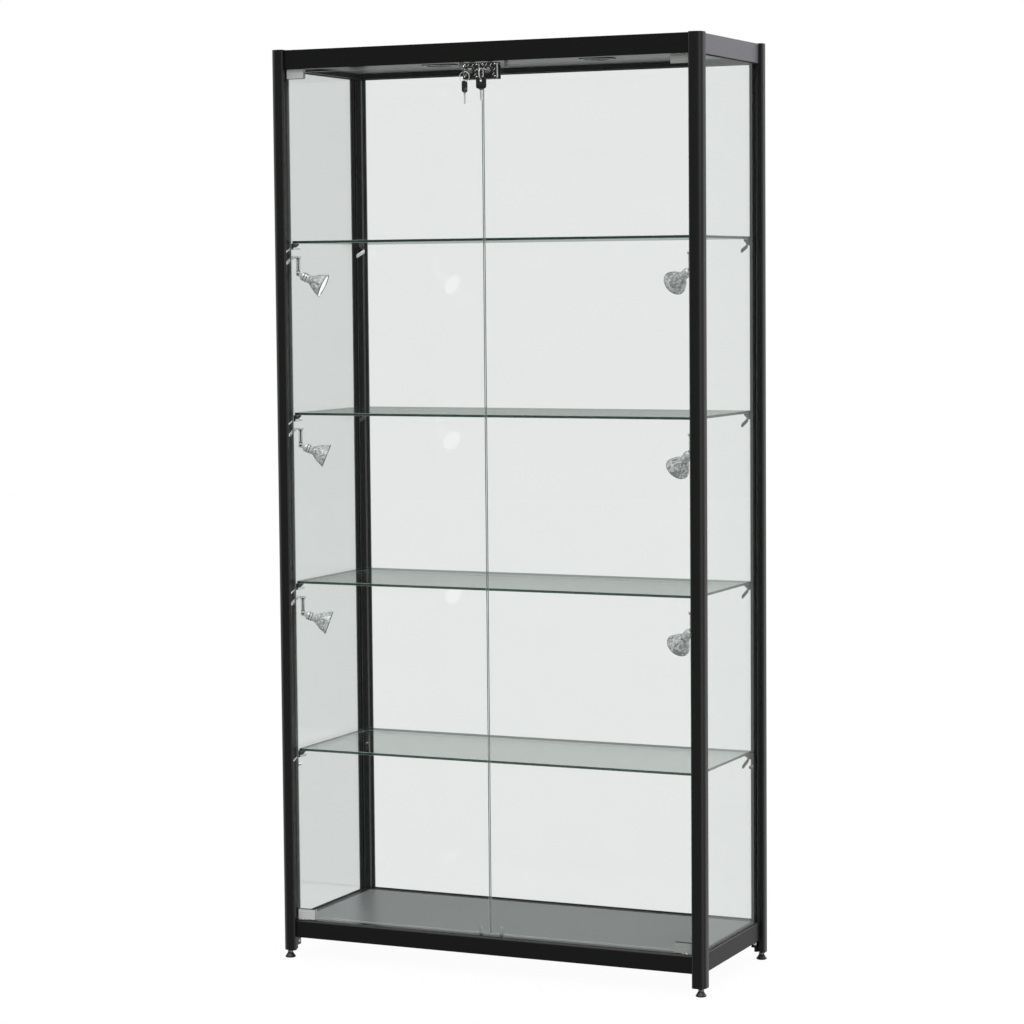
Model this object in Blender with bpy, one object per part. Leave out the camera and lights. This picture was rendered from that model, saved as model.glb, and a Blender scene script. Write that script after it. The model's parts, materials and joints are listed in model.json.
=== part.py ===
"""A tall free-standing display case: aluminium posts and rails, glass on every side, four glass
shelves, two hinged glass doors with locks, side spotlights, ceiling downlights and levelling feet.

Metres, +Z up. The front is towards -Y. The floor is z = 0, and the origin is on it, under the middle
of the whole outline, keys included. Every piece is one closed solid in its own object.
"""

import math

import bmesh
import bpy
from mathutils import Matrix, Vector

# ---------------------------------------------------------------- driving dimensions, in metres
WIDTH = 1.000
DEPTH = 0.400
HEIGHT = 2.000
KEY_REACH = 0.046  # how far the keys and their rings stand out in front of the frame
BACK = (DEPTH + KEY_REACH) / 2
FRONT = BACK - DEPTH
GAP = 0.0003  # clearance between pieces that touch
OVER = 0.001  # how far a cutter reaches past the surface it opens
BITE = 0.002  # how far a piece joined to another reaches into it

# posts
POST = 0.030
POST_ROUND = 0.014  # at the outer corner
POST_SIDE_ROUND = 0.005  # at the two corners beside the rails
POST_LOW = 0.0177
FLANGE = 0.010  # below the tab only the post's outer corner and two flanges this deep go on down
FLANGE_THICK = 0.005
TAB_LOW = 0.028  # lower end of the tab at each post's inner corner
BORE_PLACE = 0.0125  # from the post's two outer faces
BORE_RADIUS = 0.006
THREAD_RADIUS = 0.00435
THREAD_LENGTH = 0.025

# rails
RAIL = POST  # the rails' inner faces, from the posts' outer faces
RAIL_FACE = 0.009  # the rails' outer faces, from the posts' outer faces
RAIL_WALL = 0.003
TOP_RAIL = 0.0417
TOP_RAIL_TOP = HEIGHT - 0.001
TOP_RAIL_LOW = TOP_RAIL_TOP - TOP_RAIL
BOTTOM_RAIL_LOW = 0.0466
BOTTOM_RAIL_TOP = 0.0866
RAIL_ROUND = 0.007  # top edge of the bottom front rail
GLAZED_RAIL_ROUND = 0.002  # top edge of the bottom rails that hold panes
LEDGE = 0.008
LEDGE_THICK = 0.003

# glass and panels
GLASS = 0.005
SHELF_GLASS = 0.006
PANE_PLACE = 0.015  # middle of a pane's thickness, from the posts' outer faces
GROOVE_WIDE = 0.0062
GROOVE_DEEP = 0.008
PANE_IN = 0.007  # how far a pane's edge enters its groove
CEILING_LOW = 1.9690
CEILING_THICK = 0.003
CEILING_IN = 0.004
CEILING_SLOT = 0.005
FLOOR_LOW = 0.0700
FLOOR_TOP = 0.0860

# shelves and their clips
SHELF_TOPS = (0.466, 0.839, 1.211, 1.587)  # from the lowest shelf up
SHELF_HALF = 0.472
SHELF_FRONT = FRONT + 0.038
SHELF_BACK = BACK - 0.033
CLIP_INNER = 0.466
CLIP_OUTER = 0.480
CLIP_REACH = 0.028
CLIP_HIGH = 0.013
CLIP_TIP = 0.003
CLIP_ROOT = 0.005
CLIP_BITE = 0.0005  # how far a clip's root lies inside its post

# doors and their hinge clamps
DOOR_PLACE = FRONT + 0.020  # middle of the doors' glass
DOOR_OUTER = 0.467
DOOR_MEET = 0.0015
DOOR_LOW = 0.0923
DOOR_TOP = 1.9510
HINGE_X = 0.455
CLAMP_LONG = 0.040
CLAMP_THICK = 0.011
CLAMP_TOP_Z = (1.9373, 1.9563)
CLAMP_BOTTOM_Z = (0.0876, 0.1090)
PIN_RADIUS = 0.003
PIN_BORE = 0.0034
PIN_LONG = 0.0085
PIN_BORE_DEEP = 0.010

# door stops on the front rails
STOP_HALF = 0.004
STOP_TOP_X = 0.052
STOP_TOP_LONG = 0.013
STOP_BOTTOM_X = 0.024
STOP_BOTTOM_LONG = 0.020
STOP_FRONT = FRONT + 0.0232
STOP_BACK = FRONT + 0.0290

# locks and keys
LOCK_X = (0.003, 0.039)
LOCK_CENTRE = (LOCK_X[0] + LOCK_X[1]) / 2
LOCK_Z = (1.920, 1.9545)
LOCK_AXIS_Z = 1.937
LOCK_FRONT = FRONT + 0.004
LOCK_BACK = FRONT + 0.027
FLANGE_RADIUS = 0.0095
FLANGE_FRONT = LOCK_FRONT - 0.002
BARREL_RADIUS = 0.0065
BARREL_BORE = 0.0068
BARREL_FRONT = FLANGE_FRONT - 0.001
BOLT_HALF = 0.006
BOLT_Y = (FRONT + 0.0112, FRONT + 0.0152)
BOLT_Z = (1.9458, 1.9568)
BOLT_ROOM = 0.0006  # clearance of the bolt in its pocket and in the rail's notch
BOLT_TRAVEL = 0.006
KEY_THICK = 0.0026
KEY_NECK = 0.009
KEY_NECK_HIGH = 0.007
KEY_HEAD = 0.024
KEY_HEAD_HALF = 0.011
KEY_ROUND = 0.004
KEY_HOLE = 0.0036
KEY_HOLE_IN = 0.0062  # hole centre from the head's end
KEY_BLADE = 0.020
KEY_BLADE_HALF = 0.003
KEY_BLADE_THICK = 0.00182
RING_RADIUS = 0.011
RING_WIRE = 0.0009

# levelling feet, as (radius, height) down one side
FOOT_STUD = 0.004
FOOT_STUD_TOP = 0.040
FOOT_PROFILE = (
    (0, 0), (0.0100, 0), (0.0113, 0.0012), (0.0115, 0.0032), (0.0072, 0.0090),
    (0.0062, 0.0132), (FOOT_STUD, 0.0134), (FOOT_STUD, FOOT_STUD_TOP), (0, FOOT_STUD_TOP),
)

# ceiling downlights: (radius, height above the ceiling's underside)
DOWNLIGHT_X = 0.187
DOWNLIGHT_HOLE = 0.033
DOWNLIGHT_PROFILE = (
    (0, 0), (0.026, 0), (0.028, -0.0035), (0.039, -0.0035), (0.040, -0.0025),
    (0.040, -GAP), (0.031, -GAP), (0.031, 0.024), (0, 0.024),
)

# lighting transformer on top of the ceiling panel
TRANSFORMER_SIZE = (0.150, 0.045, 0.024)
TRANSFORMER_Y = BACK - 0.070
GLAND_RADIUS = 0.006
GLAND_LONG = 0.010

# side spotlights, one pair below each of the three upper shelves
SPOT_LEVELS = {"lower": SHELF_TOPS[1], "middle": SHELF_TOPS[2], "upper": SHELF_TOPS[3]}
# (turn of the lamp away from the case's width, angle below level), in degrees
SPOT_AIM = {
    ("left", "upper"): (17.5, 25.0),
    ("left", "middle"): (26.5, 22.0),
    ("left", "lower"): (25.8, 20.0),
    ("right", "upper"): (32.5, 25.8),
    ("right", "middle"): (33.2, 37.4),
    ("right", "lower"): (33.2, 37.3),
}
SPOT_X = 0.459
SPOT_Y = FRONT + 0.040  # clear of the door glass, whose outer edge swings in past the post
SPOT_DROP = 0.037  # from the shelf's top down to the swivel
ARM_LONG = 0.035  # from the swivel down to the tilt pin
ARM_HALF = 0.004
ARM_THICK = 0.0025
EYE_RADIUS = 0.0055
EYE_BORE = 0.0023
WASHER_RADIUS = 0.006
WASHER_THICK = 0.002
SWIVEL_RADIUS = 0.0020
SWIVEL_BORE = 0.0024
RIVET_HEAD = ((0.0036, GAP), (0.0030, 0.0014), (0, 0.0018))  # (radius, height above the ear)
EYE_OPEN = 20  # degrees from level at which the eye's outline meets the strap
EAR_THICK = 0.0025
EAR_RADIUS = 0.007
PLATE_THICK = 0.0012
# lower edge of a bracket's plate and where its upper edge leaves the post: (y, height from the swivel)
PLATE_FOOT = ((FRONT + 0.004, -0.010), (FRONT + 0.007, -0.015), (FRONT + 0.033, -0.004))
PLATE_HEAD = (FRONT + 0.033, 0.005)
FORK_ROOM = 0.0004
FORK_THICK = 0.0022
FORK_HALF = 0.005
FORK_REACH = 0.010
FORK_PIN = 0.0019
FORK_PIN_PROUD = 0.0008
# lamp head, as (radius, distance from the tilt pin), back to front
HEAD_PROFILE = (
    (0, 0.008), (0.0100, 0.008), (0.0100, 0.0270), (0.0095, 0.0290), (0.0142, 0.0350),
    (0.0193, 0.0430), (0.0235, 0.0520), (0.0265, 0.0620), (0, 0.0620),
)

ROUND_STEPS = 16
ARC_STEPS = 8
SHARP = 35  # degrees; a sharper edge between two turned faces stays an edge
MERGE = 1e-7

# base colour, metallic, roughness
FINISHES = {
    "black_aluminium": ((0.012, 0.013, 0.012, 1), 0.6, 0.38),
    "clear_glass": ((0.80, 0.88, 0.86, 1), 0.0, 0.02),
    "shelf_glass": ((0.62, 0.72, 0.68, 1), 0.0, 0.03),
    "grey_laminate": ((0.20, 0.21, 0.21, 1), 0.0, 0.55),
    "pale_grey": ((0.45, 0.46, 0.46, 1), 0.0, 0.50),
    "chrome": ((0.75, 0.76, 0.76, 1), 1.0, 0.12),
    "dark_chrome": ((0.18, 0.19, 0.18, 1), 1.0, 0.22),
    "black_plastic": ((0.015, 0.015, 0.015, 1), 0.0, 0.45),
    "lamp": ((0.78, 0.80, 0.80, 1), 0.7, 0.15),
}

SIDES = {"left": -1, "right": 1}
ENDS = {"front": 1, "back": -1}  # the way from that end towards the middle, along Y


# ---------------------------------------------------------------- making solids
def clear_scene():
    for obj in list(bpy.data.objects):
        bpy.data.objects.remove(obj)


def add_material(obj, finish):
    colour, metallic, roughness = FINISHES[finish]
    material = bpy.data.materials.new(obj.name + "_" + finish)
    material.use_nodes = True
    shader = material.node_tree.nodes["Principled BSDF"]
    shader.inputs["Base Color"].default_value = colour
    shader.inputs["Metallic"].default_value = metallic
    shader.inputs["Roughness"].default_value = roughness
    if "glass" in finish:
        shader.inputs["Transmission Weight"].default_value = 1.0
    material.diffuse_color = colour
    obj.data.materials.append(material)


def make_object(name, bm, finish):
    bmesh.ops.recalc_face_normals(bm, faces=bm.faces)
    mesh = bpy.data.meshes.new(name)
    bm.to_mesh(mesh)
    bm.free()
    obj = bpy.data.objects.new(name, mesh)
    bpy.context.scene.collection.objects.link(obj)
    if finish:
        add_material(obj, finish)
    return obj


def prism(name, outline, low, high, axis, finish=None):
    """A flat outline pushed from low to high along axis: (y, z) on X, (x, z) on Y, (x, y) on Z."""
    place = {
        "X": lambda a, b: (low, a, b),
        "Y": lambda a, b: (a, low, b),
        "Z": lambda a, b: (a, b, low),
    }[axis]
    bm = bmesh.new()
    face = bm.faces.new([bm.verts.new(place(a, b)) for a, b in outline])
    pushed = bmesh.ops.extrude_face_region(bm, geom=[face])["geom"]
    step = Vector([high - low if axis == letter else 0 for letter in "XYZ"])
    moved = [item for item in pushed if isinstance(item, bmesh.types.BMVert)]
    bmesh.ops.translate(bm, verts=moved, vec=step)
    return make_object(name, bm, finish)


def box(name, low, high, finish=None):
    """A box between two opposite corners, given in any order."""
    spans = [sorted(pair) for pair in zip(low, high)]
    (x0, x1), (y0, y1), (z0, z1) = spans
    return prism(name, [(x0, y0), (x1, y0), (x1, y1), (x0, y1)], z0, z1, "Z", finish)


def turned(name, profile, finish=None, closed=False):
    """A profile of (radius, height) points spun about the Z axis; closed joins its last to its first."""
    bm = bmesh.new()
    verts = [bm.verts.new((radius, 0, height)) for radius, height in profile]
    edges = [bm.edges.new(pair) for pair in zip(verts, verts[1:])]
    if closed:
        edges.append(bm.edges.new((verts[-1], verts[0])))
    bmesh.ops.spin(
        bm, geom=verts + edges, cent=(0, 0, 0), axis=(0, 0, 1),
        angle=math.tau, steps=ROUND_STEPS, use_merge=True,
    )
    bmesh.ops.remove_doubles(bm, verts=bm.verts, dist=MERGE)
    obj = make_object(name, bm, finish)
    obj.data.shade_smooth()
    obj.data.set_sharp_from_angle(angle=math.radians(SHARP))
    return obj


def rod(name, radius, start, end, finish=None):
    """A round rod between two points."""
    start, end = Vector(start), Vector(end)
    long = (end - start).length
    obj = turned(name, ((0, 0), (radius, 0), (radius, long), (0, long)), finish)
    turn = Vector((0, 0, 1)).rotation_difference(end - start).to_matrix().to_4x4()
    obj.data.transform(Matrix.Translation(start) @ turn)
    return obj


def combine(obj, operation, *others):
    """The Boolean of obj with each of the others, worked out at once; the others are used up."""
    for other in others:
        modifier = obj.modifiers.new(operation, "BOOLEAN")
        modifier.operation = operation
        modifier.solver = "EXACT"
        modifier.object = other
    evaluated = obj.evaluated_get(bpy.context.evaluated_depsgraph_get())
    mesh = bpy.data.meshes.new_from_object(evaluated)
    obj.modifiers.clear()
    obj.data = mesh
    for other in others:
        bpy.data.objects.remove(other)
    return obj


def set_origin(obj, point):
    """Puts the object's origin at a point, leaving its shape where it is."""
    obj.data.transform(Matrix.Translation(-Vector(point)))
    obj.location = point
    return obj


def attach(child, parent, parent_origin):
    child.parent = parent
    child.matrix_parent_inverse = Matrix.Translation(-Vector(parent_origin))


def arc(centre, radius, start, end, steps=ARC_STEPS):
    """Points on an arc from start to end, in degrees, both ends included."""
    angles = [math.radians(start + (end - start) * i / steps) for i in range(steps + 1)]
    return [(centre[0] + radius * math.cos(a), centre[1] + radius * math.sin(a)) for a in angles]


def rounded(low, high, radius, steps=4):
    """A rectangle with round corners."""
    (a0, b0), (a1, b1) = low, high
    corners = (
        ((a0 + radius, b0 + radius), 180), ((a1 - radius, b0 + radius), 270),
        ((a1 - radius, b1 - radius), 0), ((a0 + radius, b1 - radius), 90),
    )
    return [p for centre, start in corners for p in arc(centre, radius, start, start + 90, steps)]


# ---------------------------------------------------------------- frame
def post_outline(back_groove):
    """Post section measured inwards from its two outer faces, with its grooves for the panes."""
    near, far = PANE_PLACE - GROOVE_WIDE / 2, PANE_PLACE + GROOVE_WIDE / 2
    bed = POST - GROOVE_DEEP
    outline = arc((POST_ROUND, POST_ROUND), POST_ROUND, 180, 270)
    outline += arc((POST - POST_SIDE_ROUND, POST_SIDE_ROUND), POST_SIDE_ROUND, 270, 360, 4)
    if back_groove:
        outline += [(POST, near), (bed, near), (bed, far), (POST, far)]
    outline += [(POST, POST), (far, POST), (far, bed), (near, bed), (near, POST)]
    outline += arc((POST_SIDE_ROUND, POST - POST_SIDE_ROUND), POST_SIDE_ROUND, 90, 180, 4)
    return outline


def shelf_clip(side, end, shelf_top):
    """Tapered support under a shelf's corner, rooted just inside the post."""
    root = (FRONT if end == "front" else BACK) + ENDS[end] * (POST - CLIP_BITE)
    way = ENDS[end]
    top = shelf_top - SHELF_GLASS - GAP
    outline = [
        (root, top), (root + way * CLIP_REACH, top), (root + way * CLIP_REACH, top - CLIP_TIP),
        (root + way * CLIP_ROOT, top - CLIP_HIGH), (root, top - CLIP_HIGH),
    ]
    return prism("clip", outline, SIDES[side] * CLIP_INNER, SIDES[side] * CLIP_OUTER, "X")


def make_post(side, end):
    """Post with pane grooves, a bore for the foot's stud, a cut-away foot end and shelf clips."""
    def at(u, v, z):
        y = FRONT + v if end == "front" else BACK - v
        return (SIDES[side] * (WIDTH / 2 - u), y, z)

    def carve(low, high):
        return box("cutter", at(*low), at(*high))

    outline = [at(u, v, 0)[:2] for u, v in post_outline(end == "back")]
    post = prism(f"post_{end}_{side}", outline, POST_LOW, HEIGHT, "Z", "black_aluminium")
    inner, past = POST - FLANGE_THICK, POST + OVER
    cutters = [
        carve((inner, FLANGE, 0), (past, past, TAB_LOW)),
        carve((FLANGE, inner, 0), (past, past, TAB_LOW)),
        rod("cutter", THREAD_RADIUS, at(BORE_PLACE, BORE_PLACE, 0),
            at(BORE_PLACE, BORE_PLACE, POST_LOW + THREAD_LENGTH + GAP)),
        rod("cutter", BORE_RADIUS, at(BORE_PLACE, BORE_PLACE, POST_LOW + THREAD_LENGTH),
            at(BORE_PLACE, BORE_PLACE, HEIGHT - RAIL_WALL)),
    ]
    combine(post, "DIFFERENCE", *cutters)
    combine(post, "UNION", *[shelf_clip(side, end, top) for top in SHELF_TOPS])
    return post


def top_rail_outline(glazed):
    """Top rail section: (distance in from the posts' outer face, height)."""
    near, far = PANE_PLACE - GROOVE_WIDE / 2, PANE_PLACE + GROOVE_WIDE / 2
    bed = TOP_RAIL_LOW + GROOVE_DEEP
    slot_in = RAIL - CEILING_SLOT
    outline = [(RAIL_FACE, TOP_RAIL_LOW)]
    if glazed:
        outline += [(near, TOP_RAIL_LOW), (near, bed), (far, bed), (far, TOP_RAIL_LOW)]
    outline += [
        (RAIL, TOP_RAIL_LOW), (RAIL, CEILING_LOW - GAP), (slot_in, CEILING_LOW - GAP),
        (slot_in, CEILING_LOW + CEILING_THICK + GAP), (RAIL, CEILING_LOW + CEILING_THICK + GAP),
        (RAIL, TOP_RAIL_TOP), (RAIL_FACE, TOP_RAIL_TOP),
    ]
    return outline


def bottom_rail_outline(glazed, ledge):
    """Bottom rail section: (distance in from the posts' outer face, height)."""
    near, far = PANE_PLACE - GROOVE_WIDE / 2, PANE_PLACE + GROOVE_WIDE / 2
    bed = BOTTOM_RAIL_TOP - GROOVE_DEEP
    outline = [(RAIL_FACE, BOTTOM_RAIL_LOW), (RAIL, BOTTOM_RAIL_LOW)]
    if ledge:
        under = FLOOR_LOW - GAP - LEDGE_THICK
        outline += [(RAIL, under), (RAIL + LEDGE, under), (RAIL + LEDGE, under + LEDGE_THICK)]
        outline += [(RAIL, under + LEDGE_THICK)]
    outline += [(RAIL, BOTTOM_RAIL_TOP)]
    if glazed:
        outline += [(far, BOTTOM_RAIL_TOP), (far, bed), (near, bed), (near, BOTTOM_RAIL_TOP)]
    radius = GLAZED_RAIL_ROUND if glazed else RAIL_ROUND
    outline += arc((RAIL_FACE + radius, BOTTOM_RAIL_TOP - radius), radius, 90, 180, 4)
    return outline


def make_rail(name, place, outline, hollow):
    """A rail between two posts, along X for front and back and along Y for left and right."""
    across = place in ("front", "back")
    if place == "front":
        outer, way = FRONT, 1
    elif place == "back":
        outer, way = BACK, -1
    else:
        outer, way = SIDES[place] * WIDTH / 2, -SIDES[place]
    placed = [(outer + way * d, z) for d, z in outline]
    inner = [(outer + way * d, z) for d, z in hollow]
    if across:
        ends = (-WIDTH / 2 + POST + GAP, WIDTH / 2 - POST - GAP)
    else:
        ends = (FRONT + POST + GAP, BACK - POST - GAP)
    axis = "X" if across else "Y"
    rail = prism(name, placed, ends[0], ends[1], axis, "black_aluminium")
    return combine(rail, "DIFFERENCE", prism("cutter", inner, ends[0] - OVER, ends[1] + OVER, axis))


def rectangle(low, high):
    return [low, (high[0], low[1]), high, (low[0], high[1])]


def pin_bores(low, high):
    return [
        rod("cutter", PIN_BORE, (s * HINGE_X, DOOR_PLACE, low), (s * HINGE_X, DOOR_PLACE, high))
        for s in SIDES.values()
    ]


def bolt_room(side, low, high):
    """Cutter a little larger than the bolt's section, from one height to another."""
    x = SIDES[side] * LOCK_CENTRE
    half = BOLT_HALF + BOLT_ROOM
    return box("cutter", (x - half, BOLT_Y[0] - BOLT_ROOM, low), (x + half, BOLT_Y[1] + BOLT_ROOM, high))


def door_stops(x, low, high):
    return [
        box("stop", (s * x - STOP_HALF, STOP_FRONT, low), (s * x + STOP_HALF, STOP_BACK, high))
        for s in SIDES.values()
    ]


def make_top_rails():
    """The top rails; the front one has the door pins' bores, the bolts' notches and two stops."""
    hollow = rectangle(
        (RAIL_FACE + RAIL_WALL, TOP_RAIL_LOW + PIN_BORE_DEEP + RAIL_WALL),
        (RAIL - GROOVE_DEEP, TOP_RAIL_TOP - RAIL_WALL),
    )
    for place in ("front", "back", "left", "right"):
        rail = make_rail(f"rail_top_{place}", place, top_rail_outline(place != "front"), hollow)
        if place == "front":
            below, notch_top = TOP_RAIL_LOW - OVER, BOLT_Z[1] + BOLT_TRAVEL + 2 * BOLT_ROOM
            cutters = pin_bores(below, TOP_RAIL_LOW + PIN_BORE_DEEP)
            cutters += [bolt_room(side, below, notch_top) for side in SIDES]
            combine(rail, "DIFFERENCE", *cutters)
            stops = door_stops(STOP_TOP_X, TOP_RAIL_LOW - STOP_TOP_LONG, TOP_RAIL_LOW + BITE)
            combine(rail, "UNION", *stops)


def make_bottom_rails():
    """The bottom rails; front and back carry the floor panel, and the front one has two stops."""
    hollow = rectangle(
        (RAIL_FACE + RAIL_WALL, BOTTOM_RAIL_LOW + RAIL_WALL),
        (RAIL - RAIL_WALL, BOTTOM_RAIL_TOP - GROOVE_DEEP - 2 * RAIL_WALL),
    )
    for place in ("front", "back", "left", "right"):
        outline = bottom_rail_outline(place != "front", place in ("front", "back"))
        rail = make_rail(f"rail_bottom_{place}", place, outline, hollow)
        if place == "front":
            bores = pin_bores(BOTTOM_RAIL_TOP - PIN_BORE_DEEP, BOTTOM_RAIL_TOP + OVER)
            combine(rail, "DIFFERENCE", *bores)
            stops = door_stops(STOP_BOTTOM_X, BOTTOM_RAIL_TOP - BITE, BOTTOM_RAIL_TOP + STOP_BOTTOM_LONG)
            combine(rail, "UNION", *stops)


# ---------------------------------------------------------------- panels and panes
def make_panels():
    """Ceiling panel held in the top rails' slots, with two lamp holes, and the floor panel."""
    inner_x = WIDTH / 2 - RAIL
    front, back = FRONT + RAIL, BACK - RAIL
    reach = CEILING_IN
    outline = [
        (-inner_x + GAP, front - reach), (inner_x - GAP, front - reach),
        (inner_x - GAP, front + GAP), (inner_x + reach, front + GAP),
        (inner_x + reach, back - GAP), (inner_x - GAP, back - GAP),
        (inner_x - GAP, back + reach), (-inner_x + GAP, back + reach),
        (-inner_x + GAP, back - GAP), (-inner_x - reach, back - GAP),
        (-inner_x - reach, front + GAP), (-inner_x + GAP, front + GAP),
    ]
    top = CEILING_LOW + CEILING_THICK
    ceiling = prism("ceiling_panel", outline, CEILING_LOW, top, "Z", "pale_grey")
    middle = (FRONT + BACK) / 2
    holes = [
        rod("cutter", DOWNLIGHT_HOLE, (s * DOWNLIGHT_X, middle, CEILING_LOW - OVER),
            (s * DOWNLIGHT_X, middle, top + OVER))
        for s in SIDES.values()
    ]
    combine(ceiling, "DIFFERENCE", *holes)
    box("floor_panel", (-inner_x + GAP, front + GAP, FLOOR_LOW),
        (inner_x - GAP, back - GAP, FLOOR_TOP), "grey_laminate")


def make_fixed_glass():
    low, high = BOTTOM_RAIL_TOP - PANE_IN, TOP_RAIL_LOW + PANE_IN
    half = GLASS / 2
    side_reach = POST - PANE_IN
    back_y = BACK - PANE_PLACE
    back_x = WIDTH / 2 - side_reach
    box("back_glass", (-back_x, back_y - half, low), (back_x, back_y + half, high), "clear_glass")
    for side, s in SIDES.items():
        x = s * (WIDTH / 2 - PANE_PLACE)
        box(f"side_glass_{side}", (x - half, FRONT + side_reach, low),
            (x + half, BACK - side_reach, high), "clear_glass")


def make_shelves():
    for number, top in enumerate(SHELF_TOPS, start=1):
        box(f"shelf_{number}", (-SHELF_HALF, SHELF_FRONT, top - SHELF_GLASS),
            (SHELF_HALF, SHELF_BACK, top), "shelf_glass")


# ---------------------------------------------------------------- doors
def make_hinge(side, level):
    """Clamp on a door's outer corner, open towards the glass, with its pivot pin."""
    s = SIDES[side]
    low, high = CLAMP_TOP_Z if level == "top" else CLAMP_BOTTOM_Z
    edge = DOOR_TOP + GAP if level == "top" else DOOR_LOW - GAP
    mouth, web, way = (low, high, 1) if level == "top" else (high, low, -1)
    out, slot = CLAMP_THICK / 2, GLASS / 2 + GAP
    y = DOOR_PLACE
    outline = [
        (y - out, mouth), (y - slot, mouth), (y - slot, edge), (y + slot, edge),
        (y + slot, mouth), (y + out, mouth), (y + out, web), (y - out, web),
    ]
    inner = s * (DOOR_OUTER - CLAMP_LONG)
    clamp = prism(f"hinge_{level}_{side}", outline, s * DOOR_OUTER, inner, "X", "chrome")
    x = s * HINGE_X
    pin = rod("pin", PIN_RADIUS, (x, y, web - way * BITE), (x, y, web + way * PIN_LONG))
    return combine(clamp, "UNION", pin)


def make_lock_case(side):
    """Square lock body that clips over the door's top edge, bored for its barrel and its bolt."""
    s = SIDES[side]
    slot = GLASS / 2 + GAP
    low, high = LOCK_Z
    outline = [
        (LOCK_FRONT, low), (DOOR_PLACE - slot, low), (DOOR_PLACE - slot, DOOR_TOP + GAP),
        (DOOR_PLACE + slot, DOOR_TOP + GAP), (DOOR_PLACE + slot, low), (LOCK_BACK, low),
        (LOCK_BACK, high), (LOCK_FRONT, high),
    ]
    case = prism(f"lock_case_{side}", outline, s * LOCK_X[0], s * LOCK_X[1], "X", "dark_chrome")
    x = s * LOCK_CENTRE
    z = LOCK_AXIS_Z
    flange = rod("flange", FLANGE_RADIUS, (x, FLANGE_FRONT, z), (x, LOCK_FRONT + BITE, z))
    combine(case, "UNION", flange)
    bore = rod("cutter", BARREL_BORE, (x, FLANGE_FRONT - OVER, z), (x, DOOR_PLACE - slot / 2, z))
    return combine(case, "DIFFERENCE", bore, bolt_room(side, BOLT_Z[0] - BOLT_ROOM, high + OVER))


def key_solid(name):
    """A key along +Z from the neck: neck, round-cornered head and ring hole, flat in X and Z."""
    half = KEY_THICK / 2
    head = prism(
        name, rounded((-KEY_HEAD_HALF, KEY_NECK), (KEY_HEAD_HALF, KEY_NECK + KEY_HEAD), KEY_ROUND),
        -half, half, "Y",
    )
    side = KEY_NECK_HIGH / 2
    combine(head, "UNION", box("neck", (-side, -half, -OVER), (side, half, KEY_NECK + BITE)))
    z = KEY_NECK + KEY_HEAD - KEY_HOLE_IN
    hole = rod("cutter", KEY_HOLE, (0, -half - OVER, z), (0, half + OVER, z))
    return combine(head, "DIFFERENCE", hole)


def make_barrel(side):
    """Turning barrel with the key in it: the left key stands upright, the right one lies flat."""
    x = SIDES[side] * LOCK_CENTRE
    origin = (x, BARREL_FRONT, LOCK_AXIS_Z)
    end_y = DOOR_PLACE - GLASS / 2 - 2 * GAP
    barrel = rod(f"lock_barrel_{side}", BARREL_RADIUS, origin, (x, end_y, LOCK_AXIS_Z), "chrome")
    key = key_solid("key")
    turn = Matrix.Rotation(math.radians(90), 4, "X")
    if side == "left":
        turn = Matrix.Rotation(math.radians(90), 4, "Y") @ turn
    key.data.transform(Matrix.Translation(origin) @ turn)
    combine(barrel, "UNION", key)
    return set_origin(barrel, origin)


def make_spare_key(side):
    """Split ring through the fitted key's hole with the spare key on it, hanging straight down."""
    x = SIDES[side] * LOCK_CENTRE
    hole_y = BARREL_FRONT - KEY_NECK - KEY_HEAD + KEY_HOLE_IN
    if side == "left":
        top_z = LOCK_AXIS_Z - KEY_HOLE + RING_WIRE + GAP
        centre = Vector((x, hole_y, top_z - RING_RADIUS))
        pivot = (x, hole_y, top_z)
        ring_turn = Matrix.Rotation(math.radians(90), 4, "X")
        key_turn = Matrix.Rotation(math.radians(90), 4, "Z")
    else:
        top_z = LOCK_AXIS_Z + KEY_THICK / 2 + RING_WIRE + 3 * GAP
        rise = top_z - RING_RADIUS - LOCK_AXIS_Z
        chord = math.sqrt(RING_RADIUS**2 - rise**2)
        centre = Vector((x, hole_y - chord, top_z - RING_RADIUS))
        pivot = (x, hole_y - chord, top_z)
        ring_turn = Matrix.Rotation(math.radians(90), 4, "Y")
        key_turn = Matrix.Identity(4)
    wire = arc((RING_RADIUS, 0), RING_WIRE, 0, 360, 8)[:-1]
    ring = turned(f"spare_key_{side}", wire, "chrome", closed=True)
    ring.data.transform(Matrix.Translation(centre) @ ring_turn)
    spare = key_solid("spare")
    root, thin = KEY_NECK / 2, KEY_BLADE_THICK / 2
    blade = box("blade", (-KEY_BLADE_HALF, -thin, root - KEY_BLADE), (KEY_BLADE_HALF, thin, root))
    combine(spare, "UNION", blade)
    hole_z = KEY_NECK + KEY_HEAD - KEY_HOLE_IN
    hang = centre - Vector((0, 0, RING_RADIUS + KEY_HOLE - RING_WIRE / 2 + hole_z))
    spare.data.transform(Matrix.Translation(hang) @ key_turn)
    combine(ring, "UNION", spare)
    return set_origin(ring, pivot)


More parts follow.
